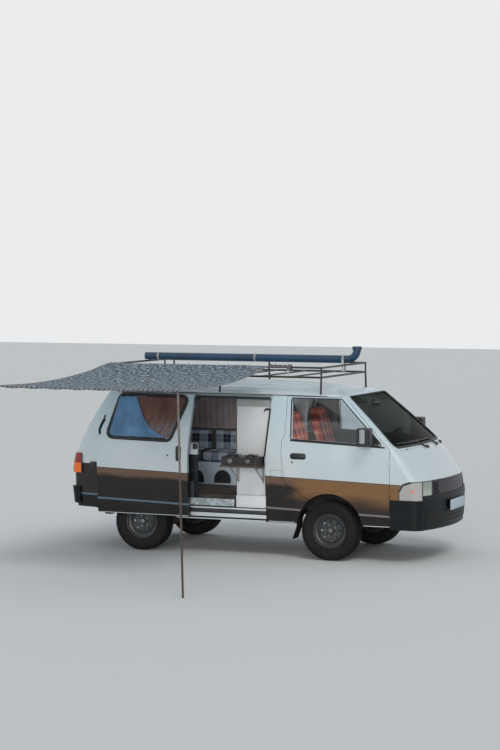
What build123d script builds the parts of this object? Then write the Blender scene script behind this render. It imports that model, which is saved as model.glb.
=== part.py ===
from build123d import *
import os
from math import sqrt, sin, cos, radians

os.makedirs("parts", exist_ok=True)

# A small forward-control camper van with its awning out, in millimetres.
# X runs forward from the front axle, Y to the van's left and Z up from the ground.
# At the end everything moves so that the origin is on the ground under the middle of the whole.

# Wheels and axles
WHEELBASE = 2235
TYRE_R = 320
TYRE_W = 185
BEAD_R = 180
RIM_WALL = 5
RIM_W = 152
WHEEL_Y = 708          # middle of a wheel from the van's middle
KINGPIN_Y = 600
HUB_R = 48
STUB_R = 22
RUN_GAP = 0.4          # running clearance of shafts
BRAKE_R = 118
BALL_UP = 105          # ball joints above and below the wheel's centre
AXLE_R = 38

# Body
GROUND_CLEAR = 385     # sill's lower edge
WALL = 70              # body side, with its inner flange
DOOR_T = 45            # thickness of a door
SHUT_GAP = 5           # gap round a door and behind it
ROOF_T = 40
FLANGE = 25            # how far the inner flange stands into a door's opening
GLASS_T = 5
GLASS_IN = 7           # glass surface behind the outer skin
SEAT_GAP = 0.3         # between pieces that rest on each other
ROOF_SPLIT_Y = 700
CANT_Z = 1755          # top of the doors
BELT_Z = 1238          # foot of the windscreen
NOSE_SPLIT_X = 690     # front edge of the front doors
ARCH_R = 375
ARCH_Z = 349
FLOOR_Z = 645
FLOOR_T = 40
HOUSE_T = 15           # wheel housings
HOUSE_TOP = 745
HOUSE_L = 405          # half length of a wheel housing
FRONT_HOUSE_Y = 400
REAR_HOUSE_Y = 560
SLIDE_BACK = 900       # how far back the sliding door stands
SLIDE_OUT = 70         # and how far out
BUMPER_OUT = 12
REAR_BUMPER_OUT = 30
LAMP_OUT = 20           # how far the tail lamps stand out
BUMPER_TOP = 684
BUMPER_LIP_Y = 735     # between the corner lamps the bumper stands higher
BUMPER_LIP_Z = 735
LAMP_LOW = 688
HINGE_X = 687.5        # front doors' upright hinge axis
HINGE_Y = 823
HINGE_Z = (760, 1080)
TAIL_HINGE_X = -2706   # tailgate's level hinge axis
TAIL_HINGE_Z = 1757.5
TAIL_HINGE_Y = 380
HINGE_PIN_R = 2.2
HINGE_R = 5

# Camping gear
CURTAIN_T = 22
RACK_Y = 710
RACK_TOP_Z = 2068
RACK_LOW_Z = 1964
RACK_TUBE_R = 11
RACK_FRONT_X = -125
RACK_REAR_X = -2650
PIPE_R = 43
AWNING_OUT_Y = -3500
AWNING_OUT_Z = 1970
AWNING_FRONT_X = -520
AWNING_REAR_X = -2680
AWNING_T = 5
AWNING_SAG = 70
POLE_R = 11

# Body sections by height. Columns: z, half_width, nose_x, corner_x, corner_y, side_x,
# tail_x, tail_corner_y, tail_side_x
LEVELS = [
    (366, 786, 1145, 1015, 730, 905, -3050, 690, -2995),
    (684, 812, 1168, 1035, 736, 930, -3075, 720, -3020),
    (890, 822, 1158, 1000, 722, 915, -3076, 735, -3023),
    (940, 822, 1122, 962, 728, 880, -3070, 735, -3018),
    (1100, 818, 960, 845, 740, 770, -3042, 735, -2989),
    (1238, 808, 795, 722, 736, 662, -2988, 725, -2933),
    (1500, 776, 470, 442, 655, 378, -2848, 680, -2796),
    (1755, 740, 160, 152, 576, 92, -2685, 628, -2635),
    (1950, 708, -82, -88, 510, -140, -2560, 590, -2510),
]
# Roof line along the van. Columns: x, crown_z, edge_z
ROOF_LINE = [
    (1300, 1735, 1700),
    (160, 1780, 1762),
    (-60, 1824, 1778),
    (-400, 1862, 1788),
    (-1000, 1884, 1790),
    (-1900, 1888, 1790),
    (-2400, 1868, 1786),
    (-2700, 1815, 1765),
    (-3200, 1640, 1600),
]
ROOF_REACH_Y = 900


def bulge(a, b, share):
    """The middle of an arc from a to b that stands out from the van's middle line."""
    mx, my = (a[0] + b[0]) / 2, (a[1] + b[1]) / 2
    dx, dy = b[0] - a[0], b[1] - a[1]
    nx, ny = dy, -dx
    if nx * (mx + 900) + ny * my < 0:
        nx, ny = -nx, -ny
    return (mx + nx * share, my + ny * share)


def plan_section(level, inset):
    """One horizontal section of the body, drawn in by inset."""
    z, wide, nose, cx, cy, sx, tail, ty, tsx = level
    wide, nose, tail = wide - inset, nose - inset, tail + inset
    cx, cy, sx = cx - inset, cy - inset * 0.6, sx - inset * 0.5
    ty, tsx = ty - inset * 0.6, tsx + inset * 0.5
    with BuildSketch(Plane.XY.offset(z)) as sketch:
        with BuildLine():
            ThreePointArc((cx, -cy), (nose, 0), (cx, cy))
            ThreePointArc((cx, cy), bulge((cx, cy), (sx, wide), 0.16), (sx, wide))
            Line((sx, wide), (tsx, wide))
            ThreePointArc((tsx, wide), bulge((tsx, wide), (tail, ty), 0.18), (tail, ty))
            ThreePointArc((tail, ty), (tail - 18, 0), (tail, -ty))
            ThreePointArc((tail, -ty), bulge((tail, -ty), (tsx, -wide), 0.18), (tsx, -wide))
            Line((tsx, -wide), (sx, -wide))
            ThreePointArc((sx, -wide), bulge((sx, -wide), (cx, -cy), 0.16), (cx, -cy))
        make_face()
    return sketch.sketch.faces()[0]


def roof_section(x, crown, edge, inset):
    """One upright cross-section whose top is the roof's arc."""
    rise = crown - edge
    radius = (RACK_Y ** 2 + rise ** 2) / (2 * rise)
    low = crown - radius + sqrt(radius ** 2 - ROOF_REACH_Y ** 2)
    crown, low = crown - inset, low - inset
    with BuildSketch(Plane.YZ.offset(x)) as sketch:
        with BuildLine():
            ThreePointArc((-ROOF_REACH_Y, low), (0, crown), (ROOF_REACH_Y, low))
            Line((ROOF_REACH_Y, low), (ROOF_REACH_Y, 300))
            Line((ROOF_REACH_Y, 300), (-ROOF_REACH_Y, 300))
            Line((-ROOF_REACH_Y, 300), (-ROOF_REACH_Y, low))
        make_face()
    return sketch.sketch.faces()[0]


def walls(inset):
    """The body's sides, nose and tail without its roof, drawn in by inset."""
    return loft([plan_section(level, inset) for level in LEVELS], ruled=True)


def roof_form(inset):
    """All that lies under the roof's skin, lowered by inset."""
    return loft([roof_section(x, crown, edge, inset) for x, crown, edge in ROOF_LINE], ruled=True)


def prism_y(points, y0, y1, radius=0, grow=0):
    """An outline in X and Z, drawn out along Y from y0 to y1."""
    with BuildSketch(Plane.XZ) as sketch:
        with BuildLine():
            Polyline(*points, close=True)
        make_face()
        if grow:
            offset(amount=grow, kind=Kind.INTERSECTION)
        if radius:
            fillet(sketch.vertices(), radius)
    return Pos(0, y1, 0) * extrude(sketch.sketch, amount=y1 - y0)


def prism_x(points, x0, x1, radius=0, grow=0):
    """An outline in Y and Z, drawn out along X from x0 to x1."""
    with BuildSketch(Plane.YZ) as sketch:
        with BuildLine():
            Polyline(*points, close=True)
        make_face()
        if grow:
            offset(amount=grow, kind=Kind.INTERSECTION)
        if radius:
            fillet(sketch.vertices(), radius)
    return Pos(x0, 0, 0) * extrude(sketch.sketch, amount=x1 - x0)


def block(x0, x1, y0, y1, z0, z1):
    """A block between two corners."""
    return Pos((x0 + x1) / 2, (y0 + y1) / 2, (z0 + z1) / 2) * Box(x1 - x0, y1 - y0, z1 - z0)


def rod(a, b, radius):
    """A round bar from point a to point b."""
    path = Vector(*b) - Vector(*a)
    on_base = (Align.CENTER, Align.CENTER, Align.MIN)
    return Plane(origin=a, z_dir=path) * Cylinder(radius, path.length, align=on_base)


def flip(shape):
    """The same piece on the van's other side."""
    return mirror(shape, about=Plane.XZ)


def ring_y(x, y0, y1, z, outer, inner=0):
    """A disc or ring about an axis along Y."""
    disc = Pos(x, (y0 + y1) / 2, z) * Rot(90, 0, 0) * Cylinder(outer, y1 - y0)
    if inner:
        disc -= Pos(x, (y0 + y1) / 2, z) * Rot(90, 0, 0) * Cylinder(inner, y1 - y0 + 2)
    return disc


nodes = {}

# Outer form and its layers
under_skin = roof_form(0)
outer = walls(0) & under_skin
under_door = walls(DOOR_T) & under_skin
behind_gap = walls(DOOR_T + SHUT_GAP) & under_skin
inside = walls(WALL) & roof_form(ROOF_T)
glass_skin = (walls(GLASS_IN) & under_skin) - walls(GLASS_IN + GLASS_T)

# Outlines in X and Z: doors and side windows
FRONT_DOOR = [(NOSE_SPLIT_X - SHUT_GAP, 390), (NOSE_SPLIT_X - SHUT_GAP, 1216), (140, CANT_Z),
              (-497, CANT_Z), (-512, 1330), (-545, 1290), (-548, 1110), (-505, 828), (-306, 690), (0, 560),
              (300, 390)]
FRONT_WINDOW = [(-450, 1735), (118, 1735), (610, 1255), (-440, 1300)]
SLIDING_DOOR = [(-680, CANT_Z), (-1590, CANT_Z), (-1812, 1240), (-1840, 1100), (-1840, 412),
                (-722, 412), (-735, 1100)]
SLIDING_WINDOW = [(-742, 1722), (-1560, 1728), (-1722, 1270), (-962, 1252)]
QUARTER_WINDOW = [(-1930, 1722), (-2390, 1722), (-2560, 1275), (-1930, 1262)]
LEFT_WINDOW = [(-700, 1722), (-1560, 1728), (-1722, 1270), (-760, 1252)]
DOOR_LIMIT_Y = 1000
DOOR_INNER_Y = 690     # the doors end here, short of the windscreen's corner

# Outlines in Y and Z: windscreen and tailgate
WINDSCREEN = [(-734, BELT_Z + 4), (-572, CANT_Z - 4), (572, CANT_Z - 4), (734, BELT_Z + 4)]
TAILGATE = [(-640, 705), (-640, 1240), (-560, CANT_Z), (560, CANT_Z), (640, 1240), (640, 705)]
TAIL_WINDOW = [(-560, 1290), (-500, 1690), (500, 1690), (560, 1290)]

# The opening door's front edge passes inside these, so the flange ends there
SWING_HIGH_Y = 716
SWING_LOW_Y = 766

# Shell and its parting
shell = outer - inside
for side in (-1, 1):
    for wheel_x in (0, -WHEELBASE):
        arch = ring_y(wheel_x, 620, 900, ARCH_Z, ARCH_R)
        arch += block(wheel_x - ARCH_R, wheel_x + ARCH_R, 620, 900, 300, ARCH_Z)
        shell -= arch if side > 0 else flip(arch)

nose_zone = block(NOSE_SPLIT_X, 1400, -900, 900, 300, BELT_Z)
roof_zone = block(-3300, 700, -ROOF_SPLIT_Y, ROOF_SPLIT_Y, CANT_Z, 2000)
tail_zone = block(-3300, -2700, -640, 640, 300, 700)
screen_hole = prism_x(WINDSCREEN, -100, 1300, radius=40)
tail_hole = prism_x(TAILGATE, -3300, -2350, radius=30, grow=-FLANGE)
tail_rebate = prism_x(TAILGATE, -3300, -2350, radius=30, grow=SHUT_GAP) & (outer - behind_gap)
low_cut = prism_y([(-2640, 300), (-2700, 415), (-2800, 455), (-3200, 470), (-3200, 300)], -1000, 1000)
sill_cut = block(-3300, NOSE_SPLIT_X, -1000, 1000, 300, GROUND_CLEAR)

body = shell - low_cut - sill_cut
roof = (body & roof_zone) - screen_hole - tail_rebate - tail_hole
tail_panel = (body & tail_zone) - tail_rebate
nose = (body & nose_zone) - block(NOSE_SPLIT_X - 10, 1400, -900, 900, 300, BUMPER_TOP)
ring = body - nose_zone - roof_zone - tail_zone - screen_hole - tail_rebate - tail_hole


def door_cut(outline, far_y):
    """What a door takes from the body side: its rebate and the way through."""
    rebate = prism_y(outline, -far_y, SHUT_GAP - DOOR_INNER_Y, grow=SHUT_GAP) & (outer - behind_gap)
    return rebate + prism_y(outline, -far_y, -400, grow=-FLANGE, radius=15)


front_cut = door_cut(FRONT_DOOR, DOOR_LIMIT_Y)
front_cut += prism_y(FRONT_DOOR, -SWING_HIGH_Y, -400) & block(200, 440, -1000, 0, 1440, 1665)
front_cut += prism_y(FRONT_DOOR, -SWING_LOW_Y, -400) & block(560, 700, -1000, 0, 1150, 1300)
step_keep = block(-1900, -650, -1000, 0, 300, 528)
slide_through = prism_y(SLIDING_DOOR, -DOOR_LIMIT_Y, -400, grow=-FLANGE, radius=15) - step_keep
slide_through -= block(-1900, -1560, -1000, 0, 300, 1215)
slide_rebate = prism_y(SLIDING_DOOR, -DOOR_LIMIT_Y, SHUT_GAP - DOOR_INNER_Y, grow=SHUT_GAP) & (outer - behind_gap)
quarter_hole = prism_y(QUARTER_WINDOW, -DOOR_LIMIT_Y, -400, radius=60)
left_hole = flip(prism_y(LEFT_WINDOW, -DOOR_LIMIT_Y, -400, radius=60))

right_half = ring & block(-3300, 1400, -1000, 0, 0, 2000)
left_half = ring & block(-3300, 1400, 0, 1000, 0, 2000)
side_right = right_half - front_cut - slide_through - slide_rebate - quarter_hole
side_left = left_half - flip(front_cut) - left_hole - flip(quarter_hole)

nodes["roof"] = roof
nodes["side_right"] = side_right
nodes["side_left"] = side_left
nodes["nose_panel"] = nose
nodes["tail_panel"] = tail_panel

# Fixed glass
panes = [glass_skin & prism_x(WINDSCREEN, 0, 1300, radius=40 - SEAT_GAP, grow=-SEAT_GAP)]
panes.append(glass_skin & prism_y(QUARTER_WINDOW, -DOOR_LIMIT_Y, -400, radius=60 - SEAT_GAP, grow=-SEAT_GAP))
panes.append(flip(panes[1]))
left_pane = prism_y(LEFT_WINDOW, -DOOR_LIMIT_Y, -400, radius=60 - SEAT_GAP, grow=-SEAT_GAP)
panes.append(glass_skin & flip(left_pane))
nodes["body_glass"] = panes

# Front doors, hinged at the nose
door_skin = outer - under_door
wheel_gap = ring_y(0, -1000, -500, ARCH_Z, ARCH_R)
door_right = (door_skin & prism_y(FRONT_DOOR, -DOOR_LIMIT_Y, -DOOR_INNER_Y)) - wheel_gap
door_right -= prism_y(FRONT_WINDOW, -DOOR_LIMIT_Y, -400, radius=25)
front_pane = prism_y(FRONT_WINDOW, -DOOR_LIMIT_Y, -400, radius=25 - SEAT_GAP, grow=-SEAT_GAP)
glass_right = glass_skin & front_pane
mirror_right = block(375, 505, -985, -845, 1255, 1450)
mirror_right = fillet(mirror_right.edges().filter_by(Axis.Y), 18)
mirror_right += rod((440, -880, 1275), (440, -780, 1275), 12) - outer


def hinge():
    """An upright butt hinge about the origin: the fixed ears with their pin, and the moving knuckle."""
    ears = Pos(0, 0, 30) * Cylinder(HINGE_R, 8) + Pos(0, 0, -30) * Cylinder(HINGE_R, 8)
    ears += Cylinder(HINGE_PIN_R, 60)
    knuckle = Cylinder(HINGE_R, 48) - Cylinder(HINGE_PIN_R + RUN_GAP, 50)
    return ears, knuckle


def door_hinge(z):
    """One front door hinge on the right: its part on the nose and its part on the door."""
    ears, knuckle = hinge()
    here = Pos(HINGE_X, -HINGE_Y, z)
    for up in (1, -1):
        ears += Pos(9, 6, up * 30) * Box(18, 22, 8)
    ears -= Cylinder(HINGE_R + 1, 48)
    ears += Cylinder(HINGE_PIN_R, 60)
    knuckle += (Pos(-9, 6, 0) * Box(18, 22, 48)) - Cylinder(HINGE_PIN_R + RUN_GAP, 50)
    return here * ears, here * knuckle


fixed_hinges = []
for z in HINGE_Z:
    ears, knuckle = door_hinge(z)
    door_right -= Pos(HINGE_X, -HINGE_Y, z) * Cylinder(HINGE_R + 3, 70)
    door_right += knuckle & block(0, HINGE_X + 20, -900, -HINGE_Y + 20, 0, 2000)
    fixed_hinges.append(ears)
nodes["door_right"] = door_right
nodes["door_right_glass"] = glass_right
nodes["mirror_right"] = mirror_right
nodes["door_left"] = flip(door_right)
nodes["door_left_glass"] = flip(glass_right)
nodes["mirror_left"] = flip(nodes["mirror_right"])

# Sliding door, standing open
slid = Pos(-SLIDE_BACK, -SLIDE_OUT, 0)
sliding_door = door_skin & prism_y(SLIDING_DOOR, -DOOR_LIMIT_Y, -DOOR_INNER_Y)
sliding_door -= prism_y(SLIDING_WINDOW, -DOOR_LIMIT_Y, -400, radius=60)
sliding_pane = prism_y(SLIDING_WINDOW, -DOOR_LIMIT_Y, -400, radius=60 - SEAT_GAP, grow=-SEAT_GAP)
nodes["sliding_door"] = slid * sliding_door
nodes["sliding_door_glass"] = slid * (glass_skin & sliding_pane)
# Middle rail on the rear quarter, and the arms that carry the door
MID_RAIL_Z = 945
MID_RAIL_H = 36
MID_RAIL_X = (-2850, -1850)
rail_zone = block(MID_RAIL_X[0], MID_RAIL_X[1], -900, 0,
                  MID_RAIL_Z - MID_RAIL_H / 2, MID_RAIL_Z + MID_RAIL_H / 2)
slide_rail = (outer - walls(14)) & rail_zone
rail_cap = (walls(-22) - outer) & block(MID_RAIL_X[0], MID_RAIL_X[0] + 65, -900, 0,
                                        MID_RAIL_Z - 27, MID_RAIL_Z + 27)
nodes["side_right"] = side_right - slide_rail
nodes["slide_rail"] = slide_rail + rail_cap
arm_blocks = [
    block(-2700, -2640, -860, -780, MID_RAIL_Z - 12, MID_RAIL_Z + 12),
    block(-1625, -1570, -800, -660, 1690, 1715),
    block(-1690, -1640, -860, -740, 440, 470),
]
nodes["slide_arms"] = [(arm - nodes["sliding_door"]) - nodes["side_right"] - slide_rail for arm in arm_blocks]

# Tailgate, hinged at the roof
tailgate = (outer - under_door) & prism_x(TAILGATE, -3300, -2350, radius=30)
tailgate -= prism_x(TAIL_WINDOW, -3300, -2350, radius=50)
tailgate -= block(TAIL_HINGE_X + 34, TAIL_HINGE_X + 150, -600, 600, 1690, 1760)
for side in (1, -1):
    ears, knuckle = [Rot(-90, 0, 0) * piece for piece in hinge()]
    here = Pos(TAIL_HINGE_X, side * TAIL_HINGE_Y, TAIL_HINGE_Z)
    for end in (1, -1):
        ears += Pos(12, end * 30, 6) * Box(24, 8, 8)
    knuckle += (Pos(12, 0, -6) * Box(24, 48, 8)) - Rot(90, 0, 0) * Cylinder(HINGE_PIN_R + RUN_GAP, 50)
    tailgate += here * knuckle
    nodes["roof"] += here * ears
nodes["tailgate"] = tailgate
tail_pane = prism_x(TAIL_WINDOW, -3300, -2350, radius=50 - SEAT_GAP, grow=-SEAT_GAP)
nodes["tailgate_glass"] = glass_skin & tail_pane

# Floor with wheel housings and the box under the front seats
floor_form = walls(WALL + 1)
floor = floor_form & block(-2960, 1060, -900, 900, FLOOR_Z - FLOOR_T, FLOOR_Z)
SEAT_BOX_TOP = 880
seat_box = block(-560, 250, -690, 690, FLOOR_Z, SEAT_BOX_TOP)
floor += seat_box
engine_bay = block(-500, 210, -300, 300, 500, SEAT_BOX_TOP - HOUSE_T)
floor -= engine_bay
for wheel_x, house_y in ((0, FRONT_HOUSE_Y), (-WHEELBASE, REAR_HOUSE_Y)):
    house = block(wheel_x - HOUSE_L - HOUSE_T, wheel_x + HOUSE_L + HOUSE_T,
                  house_y - HOUSE_T, 735, FLOOR_Z - FLOOR_T, HOUSE_TOP + HOUSE_T)
    hollow = block(wheel_x - HOUSE_L, wheel_x + HOUSE_L, house_y, 900, 300, HOUSE_TOP)
    for side in (1, -1):
        part = house if side > 0 else flip(house)
        floor += part & floor_form
    for side in (1, -1):
        floor -= hollow if side > 0 else flip(hollow)
nodes["floor_pan"] = floor

# Ladder frame under the floor
RAIL_Y = 345
RAIL_W = 60
RAIL_LOW = 475
RAIL_TOP = FLOOR_Z - FLOOR_T
frame_bars = [block(-2930, 1000, side * RAIL_Y - RAIL_W / 2, side * RAIL_Y + RAIL_W / 2, RAIL_LOW, RAIL_TOP)
              for side in (1, -1)]
ladder = frame_bars[0] + frame_bars[1]
for cross_x in (960, 420, -620, -1240, -1860, -2560, -2900):
    ladder += block(cross_x - 30, cross_x + 30, -RAIL_Y, RAIL_Y, RAIL_LOW + 15, RAIL_TOP - 10)
nodes["chassis_frame"] = ladder

# Heavy and hanging things under the floor
CROSS_TOP = 375
ENGINE_REAR_X = -440
nodes["engine_block"] = block(ENGINE_REAR_X, 150, -220, 220, CROSS_TOP + SEAT_GAP, 820)
tank = block(-1620, -1200, 400, 680, 400, RAIL_TOP)
nodes["fuel_tank"] = fillet(tank.edges().filter_by(Axis.X), 40)
MUFFLER_R = 70
PIPE_END_R = 22
MUFFLER_Y = -560
MUFFLER_Z = 470
muffler = rod((-1500, MUFFLER_Y, MUFFLER_Z), (-1080, MUFFLER_Y, MUFFLER_Z), MUFFLER_R)
PIPE_BEND = (-760, -400, 440)
PIPE_HEAD = (ENGINE_REAR_X - SEAT_GAP, -200, 440)
muffler += rod((-1100, MUFFLER_Y, MUFFLER_Z), PIPE_BEND, PIPE_END_R) + Pos(*PIPE_BEND) * Sphere(PIPE_END_R)
muffler += rod(PIPE_BEND, PIPE_HEAD, PIPE_END_R) - block(PIPE_HEAD[0], 0, -400, 0, 300, 600)
muffler += rod((-1620, MUFFLER_Y, MUFFLER_Z), (-1500, MUFFLER_Y, MUFFLER_Z), PIPE_END_R)
for strap_x in (-1420, -1160):
    muffler += block(strap_x - 15, strap_x + 15, MUFFLER_Y - 4, MUFFLER_Y + 4, MUFFLER_Z, RAIL_TOP)
nodes["exhaust"] = muffler

# Front suspension: a crossmember with upper and lower arms
cross_low = block(-60, 60, -RAIL_Y - 30, RAIL_Y + 30, 330, CROSS_TOP)
cross_low += block(-45, 45, RAIL_Y - 25, RAIL_Y + 25, CROSS_TOP, RAIL_LOW)
cross_low += block(-45, 45, -RAIL_Y - 25, -RAIL_Y + 25, CROSS_TOP, RAIL_LOW)
PIN_R = 15
EYE_R = 21


def arm(z_in, z_out, wide):
    """A tapering arm from the frame out to a ball joint."""
    inner = Plane.XZ.offset(-(RAIL_Y + RAIL_W / 2)) * Pos(0, z_in, 0) * Rectangle(wide, 26)
    tip = Plane.XZ.offset(-(KINGPIN_Y - PIN_R)) * Pos(0, z_out, 0) * Rectangle(40, 22)
    tapered = loft([inner.faces()[0], tip.faces()[0]], ruled=True)
    tapered += Pos(0, KINGPIN_Y, z_out) * Cylinder(EYE_R, 24)
    return tapered - Pos(0, KINGPIN_Y, z_out) * Cylinder(PIN_R + RUN_GAP, 60)


low_ball_z = TYRE_R - BALL_UP
high_ball_z = TYRE_R + BALL_UP
low_arm = arm(350, low_ball_z, 200)
high_arm = arm(495, high_ball_z, 160)
nodes["front_suspension"] = [cross_low + low_arm + flip(low_arm), high_arm, flip(high_arm)]


def knuckle():
    """Upright, stub axle and brake drum, on the left side."""
    upright = rod((0, KINGPIN_Y, low_ball_z - 14), (0, KINGPIN_Y, high_ball_z + 14), PIN_R)
    upright += block(-22, 22, KINGPIN_Y - 10, KINGPIN_Y + 32, TYRE_R - 50, TYRE_R + 50)
    upright += ring_y(0, KINGPIN_Y + 25, KINGPIN_Y + 62, TYRE_R, BRAKE_R)
    upright += ring_y(0, KINGPIN_Y + 60, WHEEL_Y + 30, TYRE_R, STUB_R)
    return upright


nodes["knuckle_left"] = knuckle()
nodes["knuckle_right"] = flip(knuckle())


def revolve_y(points):
    """A ring about the wheel's own axis from points given as (y, radius)."""
    with BuildSketch(Plane.YZ) as sketch:
        with BuildLine():
            Polyline(*points, close=True)
        make_face()
    return revolve(sketch.sketch, axis=Axis.Y)


half = TYRE_W / 2
bead_y = RIM_W / 2 - RIM_WALL - SEAT_GAP
tyre_outer = [(-bead_y, BEAD_R), (-bead_y, BEAD_R + 17), (-half, 250), (-86, 292),
                  (-60, TYRE_R), (60, TYRE_R),
              (86, 292), (half, 250), (bead_y, BEAD_R + 17), (bead_y, BEAD_R)]
tyre_inner = [(58, BEAD_R), (79, 245), (52, TYRE_R - 16), (-52, TYRE_R - 16), (-79, 245), (-58, BEAD_R)]
tyre = revolve_y(tyre_outer + tyre_inner)

half_rim = RIM_W / 2
seat_r = BEAD_R - SEAT_GAP
lip_r = BEAD_R + 14
bore_r = STUB_R + RUN_GAP
well_r = 152
rim_outside = [(half_rim, lip_r), (half_rim - RIM_WALL, lip_r), (half_rim - RIM_WALL, seat_r), (46, seat_r),
               (36, well_r + RIM_WALL), (-46, well_r + RIM_WALL), (-54, seat_r), (RIM_WALL - half_rim, seat_r),
               (RIM_WALL - half_rim, lip_r), (-half_rim, lip_r)]
rim_inside = [(-half_rim, seat_r - RIM_WALL), (-56, seat_r - RIM_WALL), (-48, well_r), (8, well_r)]
disc_back = [(8, 132), (24, 119), (24, HUB_R), (-2, HUB_R), (-2, bore_r), (34, bore_r), (34, 0)]
disc_front = [(42, 0), (42, HUB_R - 8), (32, HUB_R), (32, 121), (16, 136), (16, well_r)]
rim_front = [(40, well_r), (50, seat_r - RIM_WALL), (half_rim, seat_r - RIM_WALL)]
wheel = revolve_y(rim_outside + rim_inside + disc_back + disc_front + rim_front)
for turn in range(8):
    slot = Rot(0, turn * 45, 0) * Pos(0, 28, 104) * Rot(90, 0, 0) * Cylinder(11, 20)
    wheel -= slot

PLACES = [("front_left", 0, 1), ("front_right", 0, -1),
          ("rear_left", -WHEELBASE, 1), ("rear_right", -WHEELBASE, -1)]
for name, wheel_x, side in PLACES:
    for kind, shape in (("tyre", tyre), ("wheel", wheel)):
        placed = Pos(wheel_x, WHEEL_Y, TYRE_R) * shape
        nodes[kind + "_" + name] = placed if side > 0 else flip(placed)

# Rear axle with its shaft, and leaf springs
axle = ring_y(-WHEELBASE, -(WHEEL_Y - 40), WHEEL_Y - 40, TYRE_R, AXLE_R)
axle += Pos(-WHEELBASE, 0, TYRE_R) * Sphere(125)
axle += rod((-WHEELBASE + 90, 0, TYRE_R), (-450, 0, 455), 34)
for side in (1, -1):
    drum = ring_y(-WHEELBASE, KINGPIN_Y + 25, WHEEL_Y - 10, TYRE_R, BRAKE_R)
    drum += ring_y(-WHEELBASE, KINGPIN_Y + 60, WHEEL_Y + 30, TYRE_R, STUB_R)
    axle += drum if side > 0 else flip(drum)
nodes["rear_axle"] = axle
SPRING_Y = 430
SPRING_SPAN = 560
springs = []
for side in (1, -1):
    with BuildSketch(Plane.XZ) as leaf:
        with BuildLine():
            low = TYRE_R + AXLE_R + 0.5
            ThreePointArc((-SPRING_SPAN, low + 70), (0, low), (SPRING_SPAN, low + 70))
            Line((SPRING_SPAN, low + 70), (SPRING_SPAN, low + 85))
            ThreePointArc((SPRING_SPAN, low + 85), (0, low + 35), (-SPRING_SPAN, low + 85))
            Line((-SPRING_SPAN, low + 85), (-SPRING_SPAN, low + 70))
        make_face()
    spring = Pos(-WHEELBASE, SPRING_Y + 30, 0) * extrude(leaf.sketch, amount=60)
    for end in (-1, 1):
        end_x = -WHEELBASE + end * (SPRING_SPAN - 20)
        spring += block(end_x - 20, end_x + 20, RAIL_Y + RAIL_W / 2, SPRING_Y + 30, low + 75, RAIL_LOW + 40)
    springs.append(spring if side > 0 else flip(spring))
nodes["leaf_springs"] = springs

# Bumpers, grille and lamps
bumper_skin = walls(-BUMPER_OUT) - walls(42)
bumper = bumper_skin & block(NOSE_SPLIT_X, 1400, -900, 900, 366, BUMPER_TOP - SEAT_GAP)
bumper += bumper_skin & block(960, 1400, -BUMPER_LIP_Y, BUMPER_LIP_Y, BUMPER_TOP - 2, BUMPER_LIP_Z - SEAT_GAP)
nodes["front_bumper"] = bumper
rear_bumper = (walls(-REAR_BUMPER_OUT) - outer) & block(-3300, -2980, -900, 900, 500, 690)
nodes["rear_bumper"] = rear_bumper
lamp_side = [(788, LAMP_LOW), (792, 790), (835, 862), (905, 886), (1300, 890), (1300, LAMP_LOW)]
lamp_face = [(-900, LAMP_LOW), (-900, 890), (-552, 890), (-585, BUMPER_LIP_Z),
             (-BUMPER_LIP_Y - SEAT_GAP, BUMPER_LIP_Z),
             (-BUMPER_LIP_Y - SEAT_GAP, LAMP_LOW)]
lamp_right = (walls(-3) - walls(60)) & prism_x(lamp_face, 780, 1300)
lamp_right &= prism_y(lamp_side, -900, -500)
grille_face = [(-580, BUMPER_LIP_Z), (-547, 890), (0, 898), (547, 890), (580, BUMPER_LIP_Z)]
grille_zone = prism_x(grille_face, 900, 1300)
grille = (walls(4) - walls(30)) & grille_zone
for bar in range(6):
    z = BUMPER_LIP_Z + 9 + bar * 22
    slot = block(900, 1300, 415, 530, z, z + 12)
    grille -= slot + flip(slot)
nodes["headlamps"] = [lamp_right, flip(lamp_right)]
nodes["grille"] = grille
lip_zone = block(960, 1400, -BUMPER_LIP_Y - SEAT_GAP, BUMPER_LIP_Y + SEAT_GAP, 300, BUMPER_LIP_Z)
nose = nose - (grille_zone & outer) - lip_zone - lamp_right - flip(lamp_right)
for z in HINGE_Z:
    room = Pos(HINGE_X, -HINGE_Y, z) * Cylinder(HINGE_R + 1.5, 74)
    nose = nose - room - flip(room)
for ears in fixed_hinges:
    nose += ears + flip(ears)
nodes["nose_panel"] = nose
tail_lamp = (walls(-LAMP_OUT) - walls(40)) & block(-3300, -2960, -900, -655, 846, 1068)
nodes["tail_lamps"] = [tail_lamp, flip(tail_lamp)]
nodes["side_right"] = nodes["side_right"] - tail_lamp
nodes["side_left"] = nodes["side_left"] - flip(tail_lamp)

# Mud flaps behind the front wheels
FLAP_T = 8
FLAP_TOP_DEG = 150
flap_r = ARCH_R - SEAT_GAP
flap = ring_y(0, -800, -640, ARCH_Z, flap_r, flap_r - FLAP_T)
flap &= block(-400, flap_r * cos(radians(FLAP_TOP_DEG)), -800, -640, ARCH_Z, 700)
flap += prism_y([(-flap_r, ARCH_Z), (FLAP_T - flap_r, ARCH_Z), (FLAP_T - 50 - flap_r, 215), (-50 - flap_r, 215)],
                -800, -640)
nodes["mud_flaps"] = [flap, flip(flap)]

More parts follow.
